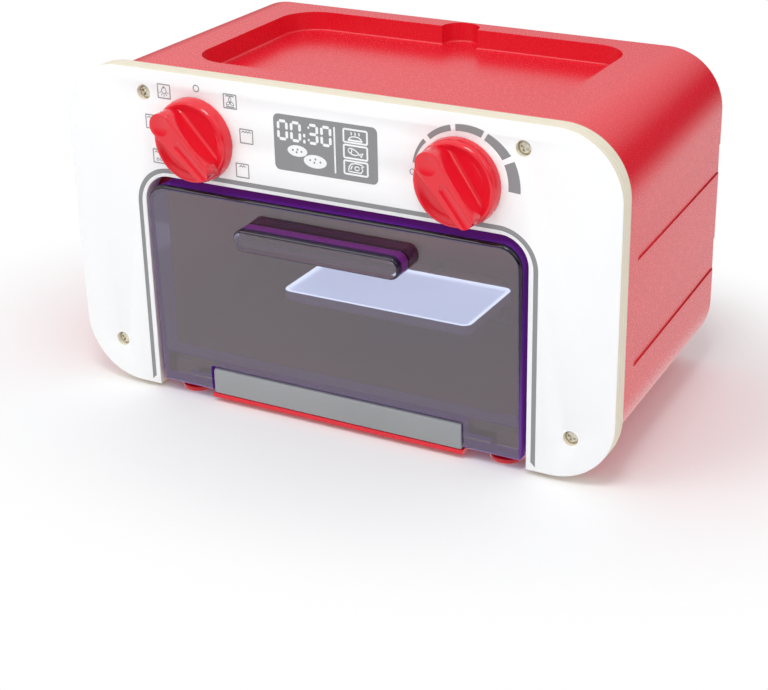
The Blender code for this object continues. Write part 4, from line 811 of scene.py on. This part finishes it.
for x, height, drawing in mark_boxes:
    z = panel_foot + height
    grey_prints.append(print_from(print_frame(
        x - mark_half_width, x + mark_half_width, z - mark_half_height, z + mark_half_height,
        ink_y, mark_line, 0.0005, 0.0005, 3
    )))
    if drawing == "lamp":
        bulb_radius, bulb_tip = 0.00150, 0.0026
        drop = [(x, z + bulb_tip)]
        for step in range(15):
            turn = radians(35 - 250 * step / 14)
            drop.append((x + bulb_radius * cos(turn), z + 0.0003 + bulb_radius * sin(turn)))
        drop.append(drop[0])
        grey_prints += print_stroke(drop, thin_line, ink_y)
        grey_prints.append(print_from(print_disc(x, z + bulb_tip - 0.0005, 0.00045, ink_y, 0, 12)))
        for turn in (-157, -124, -90, -56, -23):
            way = Vector((cos(radians(turn)), sin(radians(turn))))
            near, far = way * 0.0022, way * 0.0030
            grey_prints += print_stroke(
                [(x + near.x, z + 0.0003 + near.y), (x + far.x, z + 0.0003 + far.y)], thin_line, ink_y
            )
    elif drawing == "fan":
        for turn in (90, 210, 330):
            way = radians(turn)
            grey_prints += small_loop(
                x + 0.0014 * cos(way), z - 0.0005 + 0.0014 * sin(way), 0.0012, 0.0007, way, 0.0004, ink_y
            )
        grey_prints.append(print_from(print_disc(x, z - 0.0005, 0.0005, ink_y, 0, 12)))
        grey_prints += wave_line(x, z + 0.0028, 0.0048, 6, 0.0004)
        grey_prints += wave_line(x, z - 0.0029, 0.0048, 6, 0.0004)
    elif drawing == "small_grill":
        grey_prints += wave_line(x + 0.0001, z + 0.0024, 0.0033, 2, 0.0008)
    else:
        grey_prints += wave_line(x, z + 0.0024, 0.0054, 3, 0.0008)
        if drawing == "grill_and_fan":
            grey_prints += small_loop(x - 0.0011, z - 0.0018, 0.0007, 0.0007, 0, 0.0004, ink_y)
            grey_prints += small_loop(x + 0.0011, z - 0.0018, 0.0007, 0.0007, 0, 0.0004, ink_y)

display_left, display_right = -0.0293, 0.0306
display_low, display_high = panel_foot + 0.1405, panel_foot + 0.1702
display_corner = 0.0030
grey_prints.append(print_from(face_sheet(
    "print", display_left, display_right, display_low, display_high, ink_y, display_corner, display_corner, 8
)))
white_y = ink_y - ink_rise
biscuits = (
    (-0.0157, 0.15185, 0.0058, 0.0030,
     ((-0.0026, 0.0003), (0.0002, 0.0008), (-0.0004, -0.0007), (0.0024, -0.0001))),
    (-0.0054, 0.1476, 0.0067, 0.0035,
     ((-0.0029, 0.0005), (0.0002, 0.0013), (-0.0005, -0.0005), (0.0031, 0.0001))),
)
crumb_radius = 0.00055
for x, height, half_x, half_z, crumbs in biscuits:
    for across, up in crumbs:
        grey_prints.append(print_from(print_disc(
            x + across, panel_foot + height + up, crumb_radius, white_y - ink_rise, 0, 10
        )))

grey_ink = varied("grey_ink", 0.45, 1500.0, "Grain", (139, 139, 141), (148, 148, 150))
front_print = join_forms("front_print", grey_prints)
finish_piece(front_print, grey_ink, "oven", "white_plywood")

# Display symbols: white ink over the grey patch. A seven-segment time in fat round strokes, two
# biscuits, a rule, and three framed dishes, one steaming, one a fish, one a roast.
white_prints = []
digit_width, digit_rise, digit_line, segment_half = 0.0049, 0.0094, 0.00155, 0.00115
segments = {
    "a": (0, 1, True), "d": (0, -1, True), "g": (0, 0, True),
    "b": (1, 0.5, False), "c": (1, -0.5, False), "f": (-1, 0.5, False), "e": (-1, -0.5, False),
}
digit_segments = {"0": "abcdef", "3": "abcdg"}
digit_middle = panel_foot + 0.1619
for digit, middle_x in (("0", -0.0240), ("0", -0.0163), ("3", -0.00625), ("0", 0.00135)):
    for name in digit_segments[digit]:
        across, up, level = segments[name]
        x = middle_x + across * digit_width / 2
        z = digit_middle + up * digit_rise / 2
        reach = Vector((segment_half, 0)) if level else Vector((0, segment_half))
        ends = [(x - reach.x, z - reach.y), (x + reach.x, z + reach.y)]
        white_prints += print_stroke(ends, digit_line, white_y)
colon_x, tick_x = -0.0113, -0.0087
for x, height, half in ((colon_x, 0.1606, 0.0003), (colon_x, 0.1574, 0.0003), (tick_x, 0.1651, 0.0001),
                        (tick_x, 0.1586, 0.0001)):
    z = panel_foot + height
    width = 0.0014 if half > 0.0002 else 0.0011
    white_prints += print_stroke([(x, z - half), (x, z + half)], width, white_y)
rule_x, rule_low, rule_high, rule_width = 0.00625, panel_foot + 0.1436, panel_foot + 0.1671, 0.0009
white_prints += print_stroke([(rule_x, rule_low), (rule_x, rule_high)], rule_width, white_y)
for x, height, half_x, half_z, crumbs in biscuits:
    biscuit = print_disc(0, 0, 1, 0, 0, 40)
    pick(biscuit)
    biscuit.scale = (half_x, 1, half_z)
    biscuit.location = (x, white_y, panel_foot + height)
    settle()
    pick(biscuit, "EDIT")
    white_prints.append(print_from(biscuit))
dish_left, dish_right, dish_line, fine_line = 0.0110, 0.0253, 0.00095, 0.0006
for low, high in ((0.1602, 0.1679), (0.1520, 0.1597), (0.1436, 0.1515)):
    white_prints.append(print_from(print_frame(
        dish_left, dish_right, panel_foot + low, panel_foot + high, white_y, dish_line, 0.0012, 0.0012, 4
    )))


def white_line(points, width):
    """A white line through places given from the front's foot."""
    return print_stroke([(x, panel_foot + height) for x, height in points], width, white_y)


white_prints += white_line(
    [(0.0144, 0.1621), (0.0149, 0.1630), (0.0160, 0.1637), (0.0181, 0.1640), (0.0202, 0.1637),
     (0.0213, 0.1630), (0.0218, 0.1621)], fine_line
)
white_prints += white_line([(0.0144, 0.1619), (0.0218, 0.1619)], dish_line)
for x in (0.0159, 0.0181, 0.0203):
    white_prints += white_line([(x, 0.1648), (x + 0.0002, 0.1654), (x - 0.0001, 0.1660)], fine_line)
white_prints += white_line(
    [(0.0138, 0.1568), (0.0147, 0.1576), (0.0160, 0.1577), (0.0178, 0.1570), (0.0196, 0.1557),
     (0.0214, 0.1538), (0.0223, 0.1557), (0.0200, 0.1549), (0.0180, 0.1543), (0.0160, 0.1546),
     (0.0145, 0.1555), (0.0138, 0.1568)], fine_line
)
white_prints += white_line([(0.0158, 0.1575), (0.0160, 0.1562), (0.0154, 0.1549)], fine_line)
white_prints += white_line(
    [(0.0138, 0.1455), (0.0143, 0.1480), (0.0155, 0.1495), (0.0180, 0.1501), (0.0206, 0.1499),
     (0.0226, 0.1489), (0.0214, 0.1484), (0.0220, 0.1468), (0.0211, 0.1454), (0.0138, 0.1455)], fine_line
)
white_prints += small_loop(0.0188, panel_foot + 0.1475, 0.0013, 0.0010, 0, fine_line, white_y)
white_prints += white_line([(0.0152, 0.1468), (0.0160, 0.1484)], fine_line)
white_ink = varied("white_ink", 0.45, 1500.0, "Grain", (252, 252, 252), (246, 247, 248))
display_print = join_forms("display_print", white_prints)
finish_piece(display_print, white_ink, "oven", "white_plywood")

# Knobs: one glossy red moulding, a turned drum with a dished face that a teardrop grip stands on. The
# grip flares into the dish, has a thumb dimple at its broad end and a pointer channel to its tip.
# The stem runs through the plywood to the click wheel.
skirt_gap, skirt_radius, drum_sides = 0.0003, 0.0228, 128
drum_steps = (
    (0.0228, 0.0012), (0.0225, 0.0034), (0.0222, 0.0048), (0.0219, 0.0058), (0.0216, 0.0063),
    (0.0212, 0.0067), (0.0207, 0.0069), (0.0202, 0.0069), (0.0196, 0.0067), (0.0188, 0.0063),
    (0.0179, 0.0059), (0.0170, 0.0056), (0.0161, 0.0054),
)
grip_root, grip_foot, grip_top = 0.0035, 0.00545, 0.0158
grip_reach, head_radius, tail_radius = 0.0215, 0.0070, 0.0052
grip_draft, grip_fillet, grip_edge = 0.0013, 0.0020, 0.0006
arc_steps, fillet_steps, edge_steps = 23, 8, 3
dimple_radius, dimple_depth = 0.0200, 0.00068
channel_radius, channel_start, channel_depth = 0.0045, 0.0008, 0.0008
stem_radius = 0.0035
rim_turn = radians(7)
knob_angles = {"mode": radians(136.5), "timer": radians(127.5)}


def knob_drum(name):
    """The turned drum: a round face pulled forward ring by ring."""
    drum = add_form(
        name, bpy.ops.mesh.primitive_circle_add, mode="EDIT", vertices=drum_sides, radius=skirt_radius,
        fill_type="NGON", location=(0, -skirt_gap, 0), rotation=(pi / 2, 0, 0)
    )
    choose_all("FACE")
    radius, forward = skirt_radius, skirt_gap
    for next_radius, next_forward in drum_steps:
        push((0, forward - next_forward, 0))
        ratio = next_radius / radius
        bpy.ops.transform.resize(value=(ratio, 1, ratio), center_override=(0, -next_forward, 0))
        radius, forward = next_radius, next_forward
    face_out()
    return drum


def grip_ring(grow, forward):
    """The teardrop outline along +x: its ends stay where they are while its sides grow."""
    head, tail = head_radius + grow, tail_radius + grow
    head_middle, tail_middle = grip_reach - head, grip_reach - tail
    taper = asin((head - tail) / (head_middle + tail_middle))
    points = []
    for middle, radius, first, last in (
        (head_middle, head, -pi / 2 + taper, pi / 2 - taper),
        (-tail_middle, tail, pi / 2 - taper, 3 * pi / 2 + taper),
    ):
        for step in range(arc_steps + 1):
            turn = first + (last - first) * step / arc_steps
            points.append(Vector((middle + radius * cos(turn), -forward, radius * sin(turn))))
    return points


def grip_form():
    """The grip: its outline pulled forward over a fillet and a drafted wall, and rounded at the top."""
    stations = [(grip_draft + grip_fillet, grip_root)]
    for step in range(fillet_steps + 1):
        turn = pi / 2 * (1 - step / fillet_steps)
        stations.append((
            grip_draft + grip_fillet * (1 - cos(turn)), grip_foot + grip_fillet * (1 - sin(turn))
        ))
    stations.append((0.0, grip_top - grip_edge))
    for step in range(1, edge_steps + 1):
        turn = pi / 2 * step / edge_steps
        stations.append((-grip_edge * (1 - cos(turn)), grip_top - grip_edge * (1 - sin(turn))))
    ring = grip_ring(*stations[0])
    grip = add_form(
        "grip", bpy.ops.mesh.primitive_circle_add, vertices=len(ring), radius=1, fill_type="NGON",
        rotation=(pi / 2, 0, 0)
    )
    for point, spot in zip(grip.data.vertices, ring):
        point.co = spot
    pick(grip, "EDIT")
    choose_all("FACE")
    for station in stations[1:]:
        next_ring = grip_ring(*station)
        bpy.ops.mesh.extrude_region_move()
        shape = bmesh.from_edit_mesh(grip.data)
        for point in shape.verts:
            if point.select:
                nearest = min(range(len(ring)), key=lambda number: (ring[number] - point.co).length)
                point.co = next_ring[nearest]
        bmesh.update_edit_mesh(grip.data)
        ring = next_ring
    face_out()
    return grip


def dimple_tool():
    """A ball that dips into the broad end of the grip."""
    return add_form(
        "dimple", bpy.ops.mesh.primitive_uv_sphere_add, segments=56, ring_count=72,
        radius=dimple_radius, rotation=(pi / 2, 0, 0),
        location=(grip_reach - head_radius, -grip_top - dimple_radius + dimple_depth, 0)
    )


def channel_tool():
    """A round-ended rod that lies along the grip, dips into it and runs out over its tip."""
    tool = add_form(
        "channel", bpy.ops.mesh.primitive_uv_sphere_add, mode="EDIT", segments=64, ring_count=48,
        radius=channel_radius, rotation=(0, pi / 2, 0),
        location=(channel_start, -grip_top - channel_radius + channel_depth, 0)
    )
    choose(tool, "VERT", lambda spot: spot.x < channel_start - channel_radius * 0.01)
    bpy.ops.transform.translate(value=(-2 * grip_reach, 0, 0))
    return tool


knob_red = plastic("knob_red", (232, 24, 44), (228, 20, 40), 0.14, 900.0, 0.00001, coat=0.3)
for label, x in knob_places.items():
    knob = knob_drum(label + "_knob_cap")
    work_into(knob, grip_form(), "UNION")
    work_into(knob, dimple_tool())
    work_into(knob, channel_tool())
    pick(knob, "EDIT")
    choose(knob, "EDGE", lambda middle, edge: (
        abs(middle.y + grip_top) < same_place and edge.calc_face_angle(0) > rim_turn
    ))
    bpy.ops.mesh.mark_sharp()
    stem_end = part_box(label + "_knob")[1].y - front_y
    work_into(knob, rod("stem", stem_radius, -grip_root, stem_end, (0, 0), 32), "UNION")
    pick(knob)
    knob.rotation_euler = (0, -knob_angles[label], 0)
    knob.location = (x, front_y, knob_height)
    settle()
    smooth_shade(knob, radians(21))
    finish_piece(knob, knob_red, label + "_knob", "red_plastic", label + "_knob")

# Grey bar: one satin grey moulding with a rounded upper front edge. It stands on the sill, and the
# steel pins that carry the door are held in the bores at its ends.
bar_low, bar_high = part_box("hinge_bar")
bar_round, bar_edge = 0.0030, 0.0006
bar = board("grey_bar", bar_low.x, bar_high.x, bar_low.z, bar_high.z, bar_low.y, bar_high.y, 0, 0)
ease_edges(bar, bar_round, 6, lambda middle: (
    abs(middle.y - bar_low.y) < same_place and abs(middle.z - bar_high.z) < same_place
))
soften(bar, bar_edge, 3, radians(60))
pin_low, pin_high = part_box("hinge_pin_1")
hinge_y, hinge_z = (pin_low.y + pin_high.y) / 2, (pin_low.z + pin_high.z) / 2
pin_bore, pin_insert = 0.0023, 0.0143


def side_rod(name, radius, start, end, sides=32):
    """A round bar across the oven, on the hinge line."""
    return add_form(
        name, bpy.ops.mesh.primitive_cylinder_add, vertices=sides, radius=radius, depth=end - start,
        location=((start + end) / 2, hinge_y, hinge_z), rotation=(0, pi / 2, 0)
    )


work_into(bar, side_rod("bore", pin_bore, bar_high.x - pin_insert, bar_high.x + cut_past))
work_into(bar, side_rod("bore", pin_bore, bar_low.x - cut_past, bar_low.x + pin_insert))
smooth_shade(bar)
satin_grey = plastic("satin_grey", (158, 160, 162), (151, 153, 155), 0.42, 2600.0, 0.00005)
finish_piece(bar, satin_grey, "oven", "grey_plastic", "hinge_bar")

# Door: one clear smoked-violet moulding, a pan hollowed from behind with the handle in one with it.
# Two legs beside the grey bar turn on steel pins, and the lower edge is notched round the bar.
door_low, door_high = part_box("door")
door_half, door_top, door_back = door_high.x, panel_foot + 0.1215, front_y + 0.0130
door_edge, door_corner, door_plate, door_wall, door_lean = 0.0018, 0.0120, 0.0030, 0.0028, 0.0300
door_softening = 0.0005
barrel, notch_gap, bar_notch_corner, rail = 0.0062, 0.0014, 0.002, 0.0032
handle_half, handle_foot, handle_top = 0.0487, panel_foot + 0.0970, panel_foot + 0.1092
handle_front = door_low.y
handle_corner, handle_edge, handle_wall = 0.0055, 0.0016, 0.0026
trim_past, bore_past = 0.02, 0.001


def lean_front(piece, y):
    """Tilt the face that lies at one depth a little outwards about the hinge's height."""
    choose(piece, "VERT", lambda spot: abs(spot.y - y) < same_place)
    bpy.ops.transform.rotate(value=-door_lean, orient_axis="X", center_override=(0, y, hinge_z))


pan = board(
    "smoked_door", -door_half, door_half, door_low.z, door_top, front_y, door_back, door_edge, door_corner
)
lean_front(pan, front_y)
ease_edges(pan, door_edge, 5, lambda middle: middle.y < front_y + 0.001)
handle = board(
    "handle", -handle_half, handle_half, handle_foot, handle_top, handle_front, front_y + door_plate / 2,
    handle_corner, handle_corner, 12
)
ease_edges(handle, handle_edge, 5, lambda middle: abs(middle.y - handle_front) < same_place)
work_into(pan, handle, "UNION")
notch_top = bar_high.z + notch_gap
hollow = board(
    "hollow", -door_half + door_wall, door_half - door_wall, notch_top + rail, door_top - door_wall,
    front_y + door_plate, door_back + cut_past, door_edge, door_corner - door_wall
)
lean_front(hollow, front_y + door_plate)
work_into(pan, hollow)
work_into(pan, board(
    "core", -handle_half + handle_wall, handle_half - handle_wall, handle_foot + handle_wall,
    handle_top - handle_wall, handle_front + handle_wall, front_y + door_plate + cut_past / 2,
    handle_corner - handle_wall, handle_corner - handle_wall, 8
))
work_into(pan, board(
    "notch", bar_low.x - notch_gap, bar_high.x + notch_gap, panel_foot - cut_past, notch_top,
    front_y - cut_past, door_back + cut_past, 0, bar_notch_corner, 6
))
trim = add_form("trim", bpy.ops.mesh.primitive_plane_add, size=1, rotation=(0, pi / 2, 0))
for point in trim.data.vertices:
    y = hinge_y + barrel + trim_past if point.co.y > 0 else hinge_y
    z = notch_top if point.co.z > 0 else hinge_z - barrel - trim_past
    point.co = (-door_half - cut_past, y, z)
pick(trim, "EDIT")
thicken((2 * (door_half + cut_past), 0, 0))
trim_half = door_half + 2 * cut_past
work_into(trim, side_rod("barrel", barrel, -trim_half, trim_half, 64))
work_into(trim, board(
    "above", -trim_half, trim_half, hinge_z, notch_top + cut_past, hinge_y - cut_past, hinge_y + barrel, 0, 0
))
work_into(pan, trim)
pin_far = max(pin_high.x, -pin_low.x) + hair_gap
work_into(pan, side_rod("bore", pin_bore, bar_high.x - bore_past, pin_far))
work_into(pan, side_rod("bore", pin_bore, -pin_far, bar_low.x + bore_past))
soften(pan, door_softening, 3, radians(55))
smooth_shade(pan, radians(35))
level_shading(pan)

smoked = varied(
    "smoked_violet", 0.03, 300.0, "Patch", (162, 146, 170), (156, 140, 164), "Grain", (0.02, 0.04),
    IOR=1.5, Coat_Weight=1.0, Coat_Roughness=0.02, Coat_IOR=1.65, Transmission_Weight=0.96
)
# The door's edges and the handle's top and sides take a violet that changes with depth. The violet is the
# plastic's own colour. Its dark bands on the handle are painted shade and painted reflection, and its faint
# emission is a painted glow along the rim and the handle.
violet_painted_shade_and_glow, deep, deep_shader = new_finish(
    "violet_painted_shade_and_glow", 0.08, IOR=1.5, Transmission_Weight=0.15, Emission_Strength=0.35
)
deep_place = add_node(deep, "TexCoord", output="Object")
deep_depth = add_node(deep, "SeparateXYZ", {0: deep_place}, "Y")
deep_share = map_value(deep, deep_depth, handle_front, door_back)
violet_and_painted_shade_tones = add_node(deep, "ValToRGB", {0: deep_share})
violet_and_painted_shade_stops = (
    (handle_front, (24, 12, 34)), (handle_front + 0.0034, (34, 15, 50)),
    (handle_front + 0.0050, (96, 32, 108)), (front_y - 0.0040, (92, 28, 98)),
    (front_y - 0.0036, (14, 7, 18)), (front_y - 0.0012, (16, 8, 22)),
    (front_y, (84, 32, 128)), (door_back, (104, 36, 128)),
)
violet_and_painted_shade_ramp = violet_and_painted_shade_tones.node.color_ramp
while len(violet_and_painted_shade_ramp.elements) < len(violet_and_painted_shade_stops):
    violet_and_painted_shade_ramp.elements.new(0.5)
for element, (depth, colour) in zip(violet_and_painted_shade_ramp.elements, violet_and_painted_shade_stops):
    element.position = (depth - handle_front) / (door_back - handle_front)
    element.color = linear(colour)
deep_gloss = map_value(deep, add_noise(deep, 300.0)["Grain"], *noise_spread, 0.05, 0.1)
feed(deep_shader, Base_Color=violet_and_painted_shade_tones, Emission_Color=violet_and_painted_shade_tones, Roughness=deep_gloss)
finish_piece(pan, smoked, "door", "smoked_violet", "door")
pan.data.materials.append(violet_painted_shade_and_glow)
# Faces that turn sideways, up or down take the violet with the painted shade and the painted glow.
edge_on = 0.93
pick(pan, "EDIT")
choose(pan, "FACE", lambda middle, face: abs(face.normal.y) < edge_on)
pan.active_material_index = 1
bpy.ops.object.material_slot_assign()

# Lit shelf: a shallow milky tray with a raised rim, lit from the lamp board under it, which shows
# brightest through the thin rim.
shelf_low, shelf_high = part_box("shelf_tray")
shelf_middle = (shelf_low + shelf_high) / 2
shelf_corner, shelf_softening = 0.0050, 0.0005
rim_top, rim_width, dish_depth, rim_margin = 0.0012, 0.0042, 0.0016, 0.0002
tray = add_form(
    "lit_shelf", bpy.ops.mesh.primitive_plane_add,
    (shelf_high.x - shelf_low.x, shelf_high.y - shelf_low.y, 1), "EDIT",
    size=1, location=(shelf_middle.x, shelf_middle.y, shelf_low.z)
)
choose_all()
bpy.ops.mesh.bevel(offset=shelf_corner, segments=10, affect="VERTICES")
choose_all("FACE")
push((0, 0, shelf_high.z - shelf_low.z))
choose(tray, "FACE", lambda middle, face: face.normal.z > 0.5 and middle.z > shelf_middle.z)
bpy.ops.mesh.inset(thickness=rim_top, use_even_offset=True)
bpy.ops.mesh.inset(thickness=rim_width - rim_top, use_even_offset=True)
bpy.ops.transform.translate(value=(0, 0, -dish_depth))
face_out()
soften(tray, shelf_softening, 3, radians(30))
smooth_shade(tray)
milky = varied(
    "milky_lit", 0.3, 500.0, "Patch", (226, 230, 246), (214, 220, 244), Emission_Strength=3.5
)
glow = milky.node_tree
# The tray's sides, which don't face up, glow dark instead of bright: painted shade.
dish_glow, rim_glow, side_painted_shade = (164, 198, 200), (214, 252, 244), (24, 20, 34)
milky_place = add_node(glow, "TexCoord", output="Object")
milky_height = add_node(glow, "SeparateXYZ", {0: milky_place}, "Z")
rim_share = map_value(
    glow, milky_height, shelf_high.z - dish_depth + rim_margin, shelf_high.z - rim_margin
)
milky_way = add_node(glow, "NewGeometry", output="Normal")
top_share = map_value(glow, add_node(glow, "SeparateXYZ", {0: milky_way}, "Z"), 0.2, 0.6)
top_glow = mix_colour(glow, rim_share, dish_glow, rim_glow)
feed(glow.nodes["Principled BSDF"], Emission_Color=mix_colour(glow, top_share, side_painted_shade, top_glow))
finish_piece(tray, milky, "oven", "milky_plastic", "shelf_tray")

# Pieces that keep their own shape: the oven box, bracket, battery parts, wheels, springs, board,
# pins, small screws and wires, each in the finish that it is made in.
slot_finishes = {
    "dark_red_plastic": plastic("dark_red_plastic", (190, 24, 36), (180, 20, 32), 0.4, 1500.0, 0.00005),
    "white_plastic": plastic("satin_white", (228, 228, 226), (220, 220, 218), 0.45, 1800.0, 0.00004),
    "black_plastic": plastic("satin_black", (30, 30, 32), (24, 24, 27), 0.45, 1800.0, 0.00005),
    "circuit_board": plastic("board_green", (34, 92, 54), (28, 82, 48), 0.4, 700.0, 0.00003),
    "cell_jacket": plastic("cell_jacket", (52, 56, 66), (46, 50, 60), 0.3, 900.0, 0.00002),
    "wire_jacket": plastic("wire_jacket", (188, 30, 34), (176, 26, 30), 0.5, 1500.0, 0.00003),
    "nickel_steel": nickel,
    "red_plastic": red_plastic,
}
shown_by_pieces = ["front_panel", "housing", "mode_knob", "timer_knob", "hinge_bar", "door", "shelf_tray"]
shown_by_pieces += ["foot_%d" % number for number in range(1, 7)]
shown_by_pieces += ["panel_screw_%d" % number for number in range(1, 5)]
for part in frame["record"]["subparts"]:
    if part["node"] in shown_by_pieces:
        continue
    node = frame["nodes"][part["node"]]
    node.data.materials.clear()
    node.data.materials.append(slot_finishes[part["material_slot"]])
